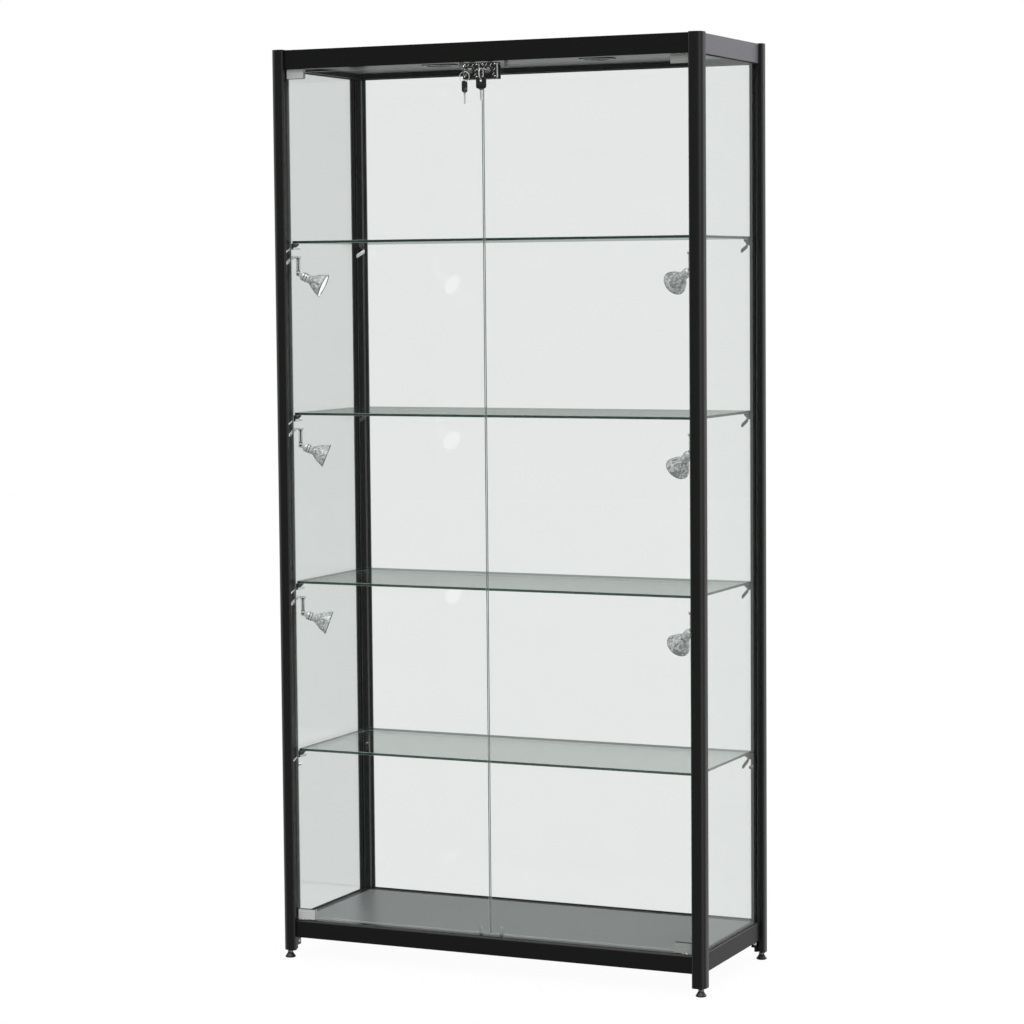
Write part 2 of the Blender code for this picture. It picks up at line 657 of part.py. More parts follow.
def make_door(side):
    """One door: glass, two hinge clamps and a lock, all turning about the pins' axis."""
    s = SIDES[side]
    x = s * LOCK_CENTRE
    pivot = (s * HINGE_X, DOOR_PLACE, 0)
    empty = bpy.data.objects.new(f"door_axis_{side}", None)
    empty.location = pivot
    bpy.context.scene.collection.objects.link(empty)
    glass = box(f"door_glass_{side}", (s * DOOR_MEET, DOOR_PLACE - GLASS / 2, DOOR_LOW),
                (s * DOOR_OUTER, DOOR_PLACE + GLASS / 2, DOOR_TOP), "clear_glass")
    barrel = make_barrel(side)
    bolt = box(f"lock_bolt_{side}", (x - BOLT_HALF, BOLT_Y[0], BOLT_Z[0]),
               (x + BOLT_HALF, BOLT_Y[1], BOLT_Z[1]), "chrome")
    set_origin(bolt, (x, BOLT_Y[0], BOLT_Z[0]))
    hinges = [make_hinge(side, level) for level in ("top", "bottom")]
    for piece in [glass, *hinges, make_lock_case(side), barrel, bolt]:
        attach(piece, empty, pivot)
    attach(make_spare_key(side), barrel, barrel.location)


# ---------------------------------------------------------------- lamps
def spot_bracket(side, level, swivel):
    """Strip on the post's inner face, sloping up to an ear that carries the arm's swivel."""
    s = SIDES[side]
    face = s * (WIDTH / 2 - POST - GAP)
    x, y, z = swivel
    outline = [(at_y, z + rise) for at_y, rise in PLATE_FOOT]
    outline += [(y + EAR_RADIUS, z), (y + EAR_RADIUS, z + EAR_THICK), (PLATE_HEAD[0], z + PLATE_HEAD[1])]
    plate = prism(f"spot_bracket_{side}_{level}", outline, face, face - s * PLATE_THICK, "X", "chrome")
    start, end = (90, -90) if s < 0 else (90, 270)
    ear_outline = [(face, y - EAR_RADIUS), (face, y + EAR_RADIUS)]
    ear_outline += arc((x, y), EAR_RADIUS, start, end)
    combine(plate, "UNION", prism("ear", ear_outline, z, z + EAR_THICK, "Z"))
    bore = rod("cutter", SWIVEL_BORE, (x, y, z - OVER), (x, y, z + EAR_THICK + OVER))
    return combine(plate, "DIFFERENCE", bore)


def spot_arm(name):
    """Arm hanging from its swivel at the origin, with a rivet up through the bracket's ear."""
    half = ARM_THICK / 2
    strap_top = -GAP - WASHER_THICK / 2
    strap = [(-ARM_HALF, strap_top), (-ARM_HALF, -ARM_LONG)]
    strap += arc((0, -ARM_LONG), EYE_RADIUS, 180 + EYE_OPEN, 360 - EYE_OPEN)
    strap += [(ARM_HALF, -ARM_LONG), (ARM_HALF, strap_top)]
    arm = prism(name, strap, -half, half, "Y", "chrome")
    profile = [
        (0, -GAP - WASHER_THICK), (WASHER_RADIUS, -GAP - WASHER_THICK), (WASHER_RADIUS, -GAP),
        (SWIVEL_RADIUS, -GAP), (SWIVEL_RADIUS, EAR_THICK + GAP),
    ]
    profile += [(radius, EAR_THICK + rise) for radius, rise in RIVET_HEAD]
    combine(arm, "UNION", turned("rivet", profile))
    eye = rod("cutter", EYE_BORE, (0, -half - OVER, -ARM_LONG), (0, half + OVER, -ARM_LONG))
    return combine(arm, "DIFFERENCE", eye)


def spot_head(name):
    """Lamp holder and reflector pointing along +X from the tilt pin at the origin."""
    head = turned(name, HEAD_PROFILE, "lamp")
    head.data.transform(Matrix.Rotation(math.radians(90), 4, "Y"))
    near = ARM_THICK / 2 + FORK_ROOM
    reach = near + FORK_THICK + FORK_PIN_PROUD
    parts = [rod("pin", FORK_PIN, (0, -reach, 0), (0, reach, 0))]
    outline = arc((0, 0), FORK_HALF, 90, 270) + [(FORK_REACH, -FORK_HALF), (FORK_REACH, FORK_HALF)]
    for way in (-1, 1):
        parts.append(prism("fork", outline, way * near, way * (near + FORK_THICK), "Y"))
    combine(head, "UNION", *parts)
    head.data.shade_smooth()
    head.data.set_sharp_from_angle(angle=math.radians(SHARP))
    return head


def make_spots():
    """Six side spotlights; the arms share one mesh and so do the heads."""
    arm_mesh = head_mesh = None
    for (side, level), (turn, drop) in SPOT_AIM.items():
        swivel = Vector((SIDES[side] * SPOT_X, SPOT_Y, SPOT_LEVELS[level] - SPOT_DROP))
        spot_bracket(side, level, swivel)
        arm_name, head_name = f"spot_arm_{side}_{level}", f"spot_head_{side}_{level}"
        if arm_mesh is None:
            arm, head = spot_arm(arm_name), spot_head(head_name)
            arm_mesh, head_mesh = arm.data, head.data
        else:
            arm = bpy.data.objects.new(arm_name, arm_mesh)
            head = bpy.data.objects.new(head_name, head_mesh)
            bpy.context.scene.collection.objects.link(arm)
            bpy.context.scene.collection.objects.link(head)
        heading = math.radians(turn if side == "left" else 180 - turn)
        arm.location = swivel
        arm.rotation_euler = (0, 0, heading)
        head.parent = arm
        head.location = (0, 0, -ARM_LONG)
        head.rotation_euler = (0, math.radians(drop), 0)


def make_downlights():
    middle = (FRONT + BACK) / 2
    for side, s in SIDES.items():
        lamp = turned(f"downlight_{side}", DOWNLIGHT_PROFILE, "black_plastic")
        lamp.location = (s * DOWNLIGHT_X, middle, CEILING_LOW)


def make_transformer():
    """Supply for the lamps, out of sight on the ceiling panel, with a gland for its mains lead."""
    long, deep, high = TRANSFORMER_SIZE
    base = CEILING_LOW + CEILING_THICK + GAP
    body = box("lighting_transformer", (-long / 2, TRANSFORMER_Y - deep / 2, base),
               (long / 2, TRANSFORMER_Y + deep / 2, base + high), "black_plastic")
    middle = base + high / 2
    gland = rod("gland", GLAND_RADIUS, (long / 2 - BITE, TRANSFORMER_Y, middle),
                (long / 2 + GLAND_LONG, TRANSFORMER_Y, middle))
    return combine(body, "UNION", gland)


def make_feet():
    for end, way in ENDS.items():
        y = (FRONT if end == "front" else BACK) + way * BORE_PLACE
        for side, s in SIDES.items():
            foot = turned(f"foot_{end}_{side}", FOOT_PROFILE, "black_plastic")
            foot.location = (s * (WIDTH / 2 - BORE_PLACE), y, 0)


def main():
    clear_scene()
    for side in SIDES:
        for end in ENDS:
            make_post(side, end)
    make_top_rails()
    make_bottom_rails()
    make_panels()
    make_fixed_glass()
    make_shelves()
    for side in SIDES:
        make_door(side)
    make_spots()
    make_downlights()
    make_transformer()
    make_feet()


main()
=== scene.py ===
"""Looks for the tall glass display case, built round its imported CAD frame.

Metres, +Z up, in the frame's own place: the front faces -Y and the floor is z = 0. The plain CAD
pieces keep their shape and get rounded edges and better materials. Lamp heads, keys, barrels, ceiling
lights, the transformer and the feet are replaced by detailed pieces that ride on the same bodies.
"""

import json
import math
import random

import bmesh
import bpy
from mathutils import Matrix, Vector


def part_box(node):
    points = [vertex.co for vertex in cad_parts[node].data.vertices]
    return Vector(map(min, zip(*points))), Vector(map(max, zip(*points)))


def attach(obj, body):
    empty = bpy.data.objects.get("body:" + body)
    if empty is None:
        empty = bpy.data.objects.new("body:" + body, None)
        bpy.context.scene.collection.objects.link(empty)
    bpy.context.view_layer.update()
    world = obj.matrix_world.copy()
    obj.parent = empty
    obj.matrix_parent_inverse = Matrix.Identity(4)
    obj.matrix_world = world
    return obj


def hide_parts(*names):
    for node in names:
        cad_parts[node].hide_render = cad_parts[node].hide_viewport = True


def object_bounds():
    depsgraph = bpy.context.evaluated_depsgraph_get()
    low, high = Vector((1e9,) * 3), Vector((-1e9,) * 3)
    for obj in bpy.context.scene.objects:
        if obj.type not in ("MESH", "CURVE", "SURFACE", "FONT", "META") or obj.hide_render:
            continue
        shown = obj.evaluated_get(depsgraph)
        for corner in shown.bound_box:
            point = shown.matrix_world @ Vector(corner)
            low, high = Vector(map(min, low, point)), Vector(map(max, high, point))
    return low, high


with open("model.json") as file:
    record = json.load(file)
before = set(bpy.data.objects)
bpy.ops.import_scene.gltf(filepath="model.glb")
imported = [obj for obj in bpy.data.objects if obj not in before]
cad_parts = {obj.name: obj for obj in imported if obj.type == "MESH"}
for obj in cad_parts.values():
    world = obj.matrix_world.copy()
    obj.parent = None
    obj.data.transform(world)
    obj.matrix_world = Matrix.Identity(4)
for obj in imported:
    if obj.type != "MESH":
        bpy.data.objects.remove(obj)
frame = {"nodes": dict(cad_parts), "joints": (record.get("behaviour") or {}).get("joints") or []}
cad_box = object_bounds()
JOINTS = {joint["name"]: joint for joint in frame["joints"]}

# ---------------------------------------------------------------- camera and light
CAMERA_PLACE = (2.6775, -5.9236, 1.4927)
CAMERA_TARGET = (0.0188, -0.0679, 0.9979)
CAMERA_ROLL = -0.49  # degrees
LENS = 105.0  # mm, on a 36 mm sensor

# studio light seen by everything but the camera: (direction, angle where it is full, angle where it
# ends, both in degrees from that direction, strength, colour)
SOFTBOXES = (
    ((0.0, -0.20, 1.0), 34, 58, 1.40, (1.00, 1.00, 1.00)),
    ((0.1, 1.0, 0.0), 48, 80, 0.46, (0.98, 1.00, 0.98)),
    ((0.41, 0.91, 0.54), 16, 21, 3.00, (0.93, 0.90, 1.00)),
    ((-1.0, -0.10, 0.05), 10, 34, 0.60, (0.96, 1.00, 0.94)),
    ((0.9, -0.40, 0.05), 10, 34, 0.55, (0.96, 1.00, 0.94)),
)
ROOM_LIGHT = (0.090, 0.092, 0.090, 1.0)
BACKDROP = (1.0, 1.0, 1.0, 1.0)
SUN_STRENGTH = 1.0
SUN_TURN = (38, 12, 0)  # degrees
SUN_SIZE = 40  # degrees across, for soft shadows
FLOOR_GLOW = 0.96  # share of the floor's white that no shadow takes away

# ---------------------------------------------------------------- sizes shared with the CAD
SIDES = {"left": -1, "right": 1}
ENDS = {"front": 1, "back": -1}  # the way from that end towards the middle, along Y
POST = 0.030
GLASS = 0.005
LEVELS = ("lower", "middle", "upper")  # the lamps on each front post
SHELVES = 4
SUPPORT_X = 0.466  # inner faces of the shelf supports, from the middle
PIVOT_BACK = 0.0125  # the pivot plates' line, back from the posts' front face
KEY_NECK = 0.009
KEY_HEAD = 0.024
KEY_THICK = 0.0026
KEY_HOLE = 0.0036  # radius of the CAD's ring hole
KEY_HOLE_OPEN = 0.0037  # radius made here, to clear the ring as it swings
KEY_HOLE_IN = 0.0062
RING_RADIUS = 0.011
RING_WIRE = 0.0009
RAIL_GAPS = {"top": -0.0010, "bottom": 0.0010}  # from the front rails to the hinge clamps' webs


# ---------------------------------------------------------------- node helpers
def add_node(tree, kind, inputs=(), **settings):
    """A node with its settings; inputs maps a socket to a value or to another node's output."""
    made = tree.nodes.new(kind)
    for key, value in settings.items():
        setattr(made, key, value)
    for key, value in dict(inputs).items():
        if isinstance(value, bpy.types.NodeSocket):
            tree.links.new(value, made.inputs[key])
        else:
            made.inputs[key].default_value = value
    return made


def maths(tree, operation, first, second=0.0, third=0.0):
    inputs = {0: first, 1: second, 2: third}
    return add_node(tree, "ShaderNodeMath", inputs, operation=operation).outputs[0]


def spread(tree, value, low, high, start=0.3, end=0.7):
    """value from start to end mapped to low to high."""
    inputs = {"Value": value, "From Min": start, "From Max": end, "To Min": low, "To Max": high}
    return add_node(tree, "ShaderNodeMapRange", inputs).outputs["Result"]


def noise(tree, scale, stretch=(1, 1, 1), detail=3.0):
    """Noise in the piece's own metres, finer along the axes with the larger stretch."""
    place = add_node(tree, "ShaderNodeTexCoord").outputs["Object"]
    mapped = add_node(tree, "ShaderNodeMapping", {"Vector": place, "Scale": stretch}).outputs[0]
    inputs = {"Vector": mapped, "Scale": scale, "Detail": detail}
    return add_node(tree, "ShaderNodeTexNoise", inputs).outputs["Fac"]


def blend(tree, factor, first, second, how="MIX"):
    """Colour mix; the first colour may be another node's output."""
    mixed = add_node(tree, "ShaderNodeMix", data_type="RGBA", blend_type=how)
    factor_in, first_in, second_in = mixed.inputs[0], mixed.inputs[6], mixed.inputs[7]
    tree.links.new(factor, factor_in)
    if isinstance(first, bpy.types.NodeSocket):
        tree.links.new(first, first_in)
    else:
        first_in.default_value = first
    second_in.default_value = second
    return mixed.outputs[2]


def tinted(colour, by):
    return tuple(channel * by for channel in colour) + (1.0,)


def new_material(name):
    material = bpy.data.materials.new(name)
    material.use_nodes = True
    material.node_tree.nodes.clear()
    return material, material.node_tree


def mix(tree, share, first, second):
    """Two shaders, all of the first where share is 0 and all of the second where it is 1."""
    inputs = {0: share, 1: first.outputs[0], 2: second.outputs[0]}
    return add_node(tree, "ShaderNodeMixShader", inputs).outputs[0]


def finish_material(tree, shader):
    add_node(tree, "ShaderNodeOutputMaterial", {"Surface": shader})


# ---------------------------------------------------------------- materials
MIRROR_HEAD_ON = 0.04  # share of light that clear glass mirrors head on
MIRROR_RISE = 0.96  # what it gains edge on
MIRROR_POWER = 5.0  # how late it gains it


def solid(name, colour, roughness, metallic=0.0, scale=60.0, stretch=(1, 1, 1), vary=0.2,
          rough_vary=0.06, bump=0.0, bump_scale=900.0, depth=0.0002, **sockets):
    """An opaque finish whose colour, roughness and surface vary with noise."""
    material, tree = new_material(name)
    grain = noise(tree, scale, stretch)
    fine = noise(tree, bump_scale, stretch, 2.0)
    shade = blend(tree, spread(tree, grain, 0, 1), tinted(colour, 1 - vary), tinted(colour, 1 + vary))
    inputs = {
        "Base Color": shade,
        "Roughness": spread(tree, fine, roughness - rough_vary, roughness + rough_vary),
        "Metallic": metallic,
    }
    if bump:
        inputs["Normal"] = add_node(
            tree, "ShaderNodeBump", {"Height": fine, "Strength": bump, "Distance": depth}
        ).outputs[0]
    inputs.update({key.replace("_", " "): value for key, value in sockets.items()})
    finish_material(tree, add_node(tree, "ShaderNodeBsdfPrincipled", inputs).outputs[0])
    return material


def aluminium(axis, shine):
    """Black anodised extrusion, with fine die lines along its own axis."""
    stretch = tuple(0.02 if letter == axis else 1.0 for letter in "XYZ")
    return solid(
        f"black_aluminium_{axis.lower()}", (0.0056, 0.0064, 0.0056), 0.28, scale=380, stretch=stretch,
        vary=0.08, rough_vary=0.010, bump=0.010, bump_scale=1500, Specular_IOR_Level=shine,
    )


def pane(name, tint, haze):
    """Thin clear glass, see-through head on and more of a mirror at a slant, with wipe marks."""
    material, tree = new_material(name)
    slant = add_node(tree, "ShaderNodeLayerWeight", {"Blend": 0.5}).outputs["Facing"]
    rise = maths(tree, "POWER", slant, MIRROR_POWER)
    share = maths(tree, "MULTIPLY_ADD", rise, MIRROR_RISE, MIRROR_HEAD_ON)
    marks = noise(tree, 6.0, (1.0, 1.0, 2.5), 6.0)
    low = tuple(channel - 0.004 for channel in tint) + (1.0,)
    through = add_node(
        tree, "ShaderNodeBsdfTransparent",
        {"Color": blend(tree, spread(tree, marks, 0, 1), low, tuple(tint) + (1.0,))},
    )
    gloss = add_node(
        tree, "ShaderNodeBsdfAnisotropic",
        {"Color": (0.97, 0.99, 0.98, 1.0), "Roughness": spread(tree, marks, 0.0, haze)},
    )
    finish_material(tree, mix(tree, share, through, gloss))
    return material


def glass_edge(name, colour, clear):
    """Ground edge of a pane: dark green-grey, slightly see-through, with fine grinding lines."""
    material, tree = new_material(name)
    lines = noise(tree, 700.0, (0.05, 0.05, 1.0), 2.0)
    shade = blend(tree, spread(tree, lines, 0, 1), tinted(colour, 0.8), tinted(colour, 1.25))
    body = add_node(
        tree, "ShaderNodeBsdfPrincipled",
        {"Base Color": shade, "Roughness": spread(tree, lines, 0.12, 0.30), "Specular IOR Level": 0.6},
    )
    through = add_node(tree, "ShaderNodeBsdfTransparent", {"Color": (0.55, 0.66, 0.60, 1.0)})
    finish_material(tree, mix(tree, clear, body, through))
    return material


def make_materials():
    brushed = {"scale": 700, "stretch": (0.04, 1, 1), "vary": 0.12, "rough_vary": 0.07, "bump": 0.10,
               "bump_scale": 1400}
    dimpled = {"scale": 260, "rough_vary": 0.12, "bump": 0.9, "bump_scale": 330, "depth": 0.0012}
    return {
        "post": aluminium("Z", 0.80),
        # painted sheen: a lighter violet-grey colour for the outer face of the top side rails,
        # standing in for a bright reflection on the black extrusion
        "rail_painted_sheen": solid("side_rail_painted_sheen", (0.150, 0.147, 0.166), 0.34, scale=420,
                            stretch=(1, 0.1, 1), vary=0.07, rough_vary=0.02, bump=0.02,
                            bump_scale=1500),
        "rail_x": aluminium("X", 0.50),
        "rail_y": aluminium("Y", 0.60),
        "rail_low_y": aluminium("Y", 0.22),
        "door": pane("door_glass", (0.978, 0.984, 0.981), 0.03),
        "back": pane("back_glass", (0.972, 0.980, 0.976), 0.03),
        # the left side pane lets through less light than the right one: painted shade on the same
        # glass
        "side_left_painted_shade": pane("side_glass_left", (0.878, 0.888, 0.883), 0.03),
        "side_right": pane("side_glass_right", (0.975, 0.982, 0.979), 0.03),
        "shelf": pane("shelf_glass", (0.955, 0.972, 0.965), 0.04),
        "edge": glass_edge("glass_edge", (0.022, 0.048, 0.038), 0.12),
        # the pale arris colour is partly the frosted look of ground glass and partly a painted
        # highlight line along each pane's edge
        "arris_painted_highlight": solid("glass_arris_painted_highlight", (0.52, 0.58, 0.55), 0.16, scale=300, vary=0.15),
        "floor": solid("grey_laminate", (0.20, 0.207, 0.207), 0.34, scale=900, vary=0.10,
                       rough_vary=0.04, bump=0.10, bump_scale=1300),
        "laminate_edge": solid("laminate_edge", (0.060, 0.062, 0.062), 0.45, scale=500),
        "ceiling": solid("ceiling_sheet", (0.17, 0.174, 0.172), 0.36, 0.1, scale=260,
                         stretch=(0.05, 1, 1), vary=0.08, bump=0.06, bump_scale=1200),
        "chrome": solid("chrome", (0.80, 0.81, 0.80), 0.10, 1.0, scale=120, vary=0.05,
                        rough_vary=0.05, bump=0.05, bump_scale=900),
        "satin": solid("satin_aluminium", (0.60, 0.61, 0.60), 0.38, 0.25, **brushed),
        # a darker copy of the satin finish: painted shade for the right door's hinge clamps
        "satin_painted_shade": solid("satin_aluminium_painted_shade", (0.33, 0.35, 0.33), 0.38, 0.25, **brushed),
        "bright": solid("polished_bracket", (0.86, 0.87, 0.86), 0.22, 0.35, scale=260, vary=0.10,
                        rough_vary=0.07, bump=0.08, bump_scale=900),
        "dark_chrome": solid("dark_chrome", (0.105, 0.110, 0.105), 0.20, 0.9, scale=180, vary=0.25,
                             rough_vary=0.08, bump=0.10, bump_scale=700),
        "plastic": solid("black_plastic", (0.014, 0.014, 0.014), 0.42, scale=300, vary=0.2,
                         bump=0.25, bump_scale=1600),
        "rubber": solid("seal_rubber", (0.022, 0.023, 0.022), 0.62, scale=400, vary=0.25,
                        bump=0.15, bump_scale=1200),
        "bumper": solid("clear_bumper", (0.46, 0.50, 0.48), 0.22, scale=200, vary=0.12,
                        Transmission_Weight=0.35, Coat_Weight=0.4),
        "ceramic": solid("lamp_base", (0.48, 0.48, 0.46), 0.40, 0.35, scale=400, vary=0.12,
                         bump=0.15, bump_scale=1500),
        "reflector": solid("reflector_back", (0.72, 0.74, 0.735), 0.24, 0.22, vary=0.50, **dimpled),
        "facet": solid("reflector_facet", (0.46, 0.475, 0.47), 0.24, 0.34, vary=0.40, **dimpled),
        # its glow is painted brightness that keeps the lamps' front glass white in shade, not the
        # light of a lit lamp
        "frosted_painted_glow": solid("frosted_lens_painted_glow", (0.90, 0.90, 0.90), 0.20, scale=600, vary=0.05, bump=0.2,
                         bump_scale=900, Emission_Color=(1.0, 1.0, 1.0, 1.0), Emission_Strength=0.70),
        "mirror": solid("reflector_mirror", (0.86, 0.87, 0.87), 0.12, 1.0, scale=240, vary=0.06,
                        bump=0.10, bump_scale=500),
        "lens": pane("lamp_lens", (0.97, 0.975, 0.97), 0.12),
        "bulb": solid("bulb_glass", (0.82, 0.83, 0.82), 0.25, scale=500, vary=0.08,
                      Transmission_Weight=0.4),
        "steel": solid("screw_steel", (0.62, 0.63, 0.62), 0.24, 1.0, scale=300, vary=0.10,
                       rough_vary=0.06, bump=0.10),
        "zinc": solid("zinc_plate", (0.50, 0.51, 0.51), 0.38, 0.9, scale=90, vary=0.18, bump=0.15,
                      bump_scale=300),
    }


MATERIALS = make_materials()


# ---------------------------------------------------------------- mesh helpers
def new_object(name, data):
    obj = bpy.data.objects.new(name, data)
    bpy.context.scene.collection.objects.link(obj)
    return obj


def mesh_object(name, bm, material, smooth=35):
    """smooth is the angle above which an edge stays sharp; 0 leaves every face flat."""
    bmesh.ops.remove_doubles(bm, verts=bm.verts, dist=1e-6)
    bmesh.ops.dissolve_degenerate(bm, edges=bm.edges, dist=1e-6)
    bmesh.ops.recalc_face_normals(bm, faces=bm.faces)
    mesh = bpy.data.meshes.new(name)
    bm.to_mesh(mesh)
    bm.free()
    mesh.materials.append(MATERIALS[material])
    if smooth:
        mesh.shade_smooth()
        mesh.set_sharp_from_angle(angle=math.radians(smooth))
    return new_object(name, mesh)


def lathe(name, profile, material, steps=40, ripple=None, closed=False, smooth=35):
    """(radius, height) points turned about Z; ripple(angle, index) is added to each radius above 0."""
    bm = bmesh.new()
    rings = []
    for index, (radius, height) in enumerate(profile):
        if radius == 0:
            rings.append([bm.verts.new((0, 0, height))] * steps)
            continue
        ring = []
        for step in range(steps):
            angle = math.tau * step / steps
            wide = radius + (ripple(angle, index) if ripple else 0)
            ring.append(bm.verts.new((wide * math.cos(angle), wide * math.sin(angle), height)))
        rings.append(ring)
    pairs = list(zip(rings, rings[1:])) + ([(rings[-1], rings[0])] if closed else [])
    for low, high in pairs:
        for step in range(steps):
            after = (step + 1) % steps
            corners = list(dict.fromkeys((low[step], low[after], high[after], high[step])))
            if len(corners) > 2:
                bm.faces.new(corners)
    return mesh_object(name, bm, material, smooth)


def slab(name, outline, thick, material, bevel, hole=None):
    """A flat outline in XY, thick along Z from 0, its edges rounded; hole is (x, y, radius)."""
    bm = bmesh.new()
    if hole:
        x, y, radius = hole
        count = len(outline)
        middle = Vector((x, y))
        inner = []
        for a, b in outline:
            way = (Vector((a, b)) - middle).normalized() * radius
            inner.append((x + way.x, y + way.y))
        outer = [bm.verts.new((a, b, 0)) for a, b in outline]
        bore = [bm.verts.new((a, b, 0)) for a, b in inner]
        faces = [
            bm.faces.new((outer[i], outer[(i + 1) % count], bore[(i + 1) % count], bore[i]))
            for i in range(count)
        ]
    else:
        faces = [bm.faces.new([bm.verts.new((a, b, 0)) for a, b in outline])]
    pushed = bmesh.ops.extrude_face_region(bm, geom=faces)["geom"]
    moved = [item for item in pushed if isinstance(item, bmesh.types.BMVert)]
    bmesh.ops.translate(bm, verts=moved, vec=(0, 0, thick))
    round_edges(bm, bevel)
    return mesh_object(name, bm, material)


def round_edges(bm, bevel, segments=2):
    if bevel:
        bmesh.ops.recalc_face_normals(bm, faces=bm.faces)
        sharp = [edge for edge in bm.edges if edge.calc_face_angle(0) > math.radians(30)]
        bmesh.ops.bevel(bm, geom=sharp, offset=bevel, segments=segments, affect="EDGES",
                        profile=0.5, clamp_overlap=True)


def block(name, low, high, material, bevel=0.0004, segments=2):
    """A box between two corners with rounded edges."""
    bm = bmesh.new()
    bmesh.ops.create_cube(bm, size=1)
    low, high = Vector(low), Vector(high)
    size = Vector([abs(b - a) for a, b in zip(low, high)])
    bmesh.ops.scale(bm, vec=size, verts=bm.verts)
    bmesh.ops.translate(bm, vec=(low + high) / 2, verts=bm.verts)
    round_edges(bm, bevel, segments)
    return mesh_object(name, bm, material)


def arc(centre, radius, start, end, steps=6):
    angles = [math.radians(start + (end - start) * i / steps) for i in range(steps + 1)]
    return [(centre[0] + radius * math.cos(a), centre[1] + radius * math.sin(a)) for a in angles]


def rounded(half_x, half_y, radius, steps=5):
    """A rectangle round the origin with round corners."""
    x, y = half_x - radius, half_y - radius
    corners = (((-x, -y), 180), ((x, -y), 270), ((x, y), 0), ((-x, y), 90))
    return [p for centre, start in corners for p in arc(centre, radius, start, start + 90, steps)]


def tube(name, radii, heights, material, steps, smooth=35):
    """A ring between two radii and two heights, or a disc where the first radius is 0."""
    (inner, outer), (low, high) = radii, heights
    profile = ((inner, low), (outer, low), (outer, high), (inner, high))
    return lathe(name, profile, material, steps, closed=inner > 0, smooth=smooth)


def torus(name, radius, wire, material):
    return lathe(name, arc((radius, 0), wire, 0, 360, 12)[:-1], material, 48, closed=True)


def turned(degrees, axis):
    return Matrix.Rotation(math.radians(degrees), 4, axis)


def at(point):
    return Matrix.Translation(point)


def place(obj, matrix):
    """Moves the mesh itself, so the object stays at the origin."""
    obj.data.transform(matrix)
    return obj


def towards(direction, point=(0, 0, 0)):
    """Turns +Z to a direction and moves the origin to a point."""
    turn = Vector((0, 0, 1)).rotation_difference(Vector(direction)).to_matrix().to_4x4()
    return at(point) @ turn


def join(name, parts):
    """One object from several, with their materials."""
    first = parts[0]
    if len(parts) > 1:
        with bpy.context.temp_override(active_object=first, selected_editable_objects=parts):
            bpy.ops.object.join()
    first.name = name
    first.data.name = name
    return first


def add(piece, body, slot, *stands_for):
    """Puts a finished piece on its body and hides the CAD nodes it stands for; slot is not used."""
    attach(piece, body)
    if stands_for:
        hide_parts(*stands_for)


def screw_head(radius, height, material="steel", slots=2):
    """Domed screw head on +Z with a cross recess."""
    dome = [(radius, 0), (radius, height * 0.35), (radius * 0.86, height * 0.72),
            (radius * 0.55, height * 0.95), (0, height)]
    head = lathe("head", [(0, 0)] + dome, material, 24)
    parts = [head]
    for index in range(slots):
        bar = block("slot", (-radius * 0.62, -radius * 0.11, height * 0.80),
                    (radius * 0.62, radius * 0.11, height * 1.02), "plastic", 0)
        parts.append(place(bar, turned(45 + 90 * index, "Z")))
    return join("screw", parts)


# ---------------------------------------------------------------- CAD pieces that stay
def soften(node, width, segments=2, edge_slot=0):
    """Rounds a CAD node's sharp edges; edge_slot is the material the rounding gets."""
    obj = frame["nodes"][node]
    weld = obj.modifiers.new("weld", "WELD")
    weld.merge_threshold = 1e-6
    flat = obj.modifiers.new("flat", "DECIMATE")
    flat.decimate_type = "DISSOLVE"
    flat.angle_limit = math.radians(0.5)
    flat.delimit = {"MATERIAL"}
    bevel = obj.modifiers.new("bevel", "BEVEL")
    bevel.width = width
    bevel.segments = segments
    bevel.limit_method = "ANGLE"
    bevel.angle_limit = math.radians(40)
    bevel.material = edge_slot or -1
    obj.modifiers.new("shade", "WEIGHTED_NORMAL").keep_sharp = True


def dress(node, materials, choose=None, smooth=True):
    """Gives a CAD node its materials; choose(face) is the material's number for that face."""
    mesh = frame["nodes"][node].data
    mesh.materials.clear()
    for material in materials:
        mesh.materials.append(MATERIALS[material])
    for face in mesh.polygons:
        face.material_index = choose(face) if choose else 0
        face.use_smooth = smooth


def post_edge(end):
    """Y of the frame's outer face at that end."""
    low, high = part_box("rail_bottom_left")
    return low.y - POST if end == "front" else high.y + POST


def dress_frame():
    """Posts and rails; what stands proud of a post above its corner tabs is a shelf support."""
    above_tabs = 0.2
    for end in ENDS:
        for side in SIDES:
            node = f"post_{end}_{side}"
            edge_x, edge_y = SIDES[side] * cad_box[1].x, post_edge(end)
            past = POST + 0.0004

            def is_clip(face, edge_x=edge_x, edge_y=edge_y, past=past):
                away = abs(face.center.x - edge_x) > past or abs(face.center.y - edge_y) > past
                return int(away and face.center.z > above_tabs)

            dress(node, ("post", "plastic"), is_clip)
            soften(node, 0.0004)
    for level in ("top", "bottom"):
        low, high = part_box(f"rail_{level}_back")
        for place_name in ("front", "back", "left", "right"):
            node = f"rail_{level}_{place_name}"
            across = place_name in ("front", "back")

            def finish_of(face, low=low, high=high, outward=SIDES.get(place_name, 0), level=level):
                if face.center.z < low.z - 0.0005 or face.center.z > high.z + 0.0005:
                    return 1
                # the outer face of each top side rail takes the painted sheen colour
                return 2 * int(level == "top" and face.normal.x * outward > 0.9)

            finish = "rail_x" if across else "rail_y" if level == "top" else "rail_low_y"
            dress(node, (finish, "bumper", "rail_painted_sheen"), finish_of)
            soften(node, 0.0005)


def dress_panels():
    dress("floor_panel", ("floor", "laminate_edge"), lambda face: int(abs(face.normal.z) < 0.5))
    soften("floor_panel", 0.0005)
    dress("ceiling_panel", ("ceiling",))
    soften("ceiling_panel", 0.0003)


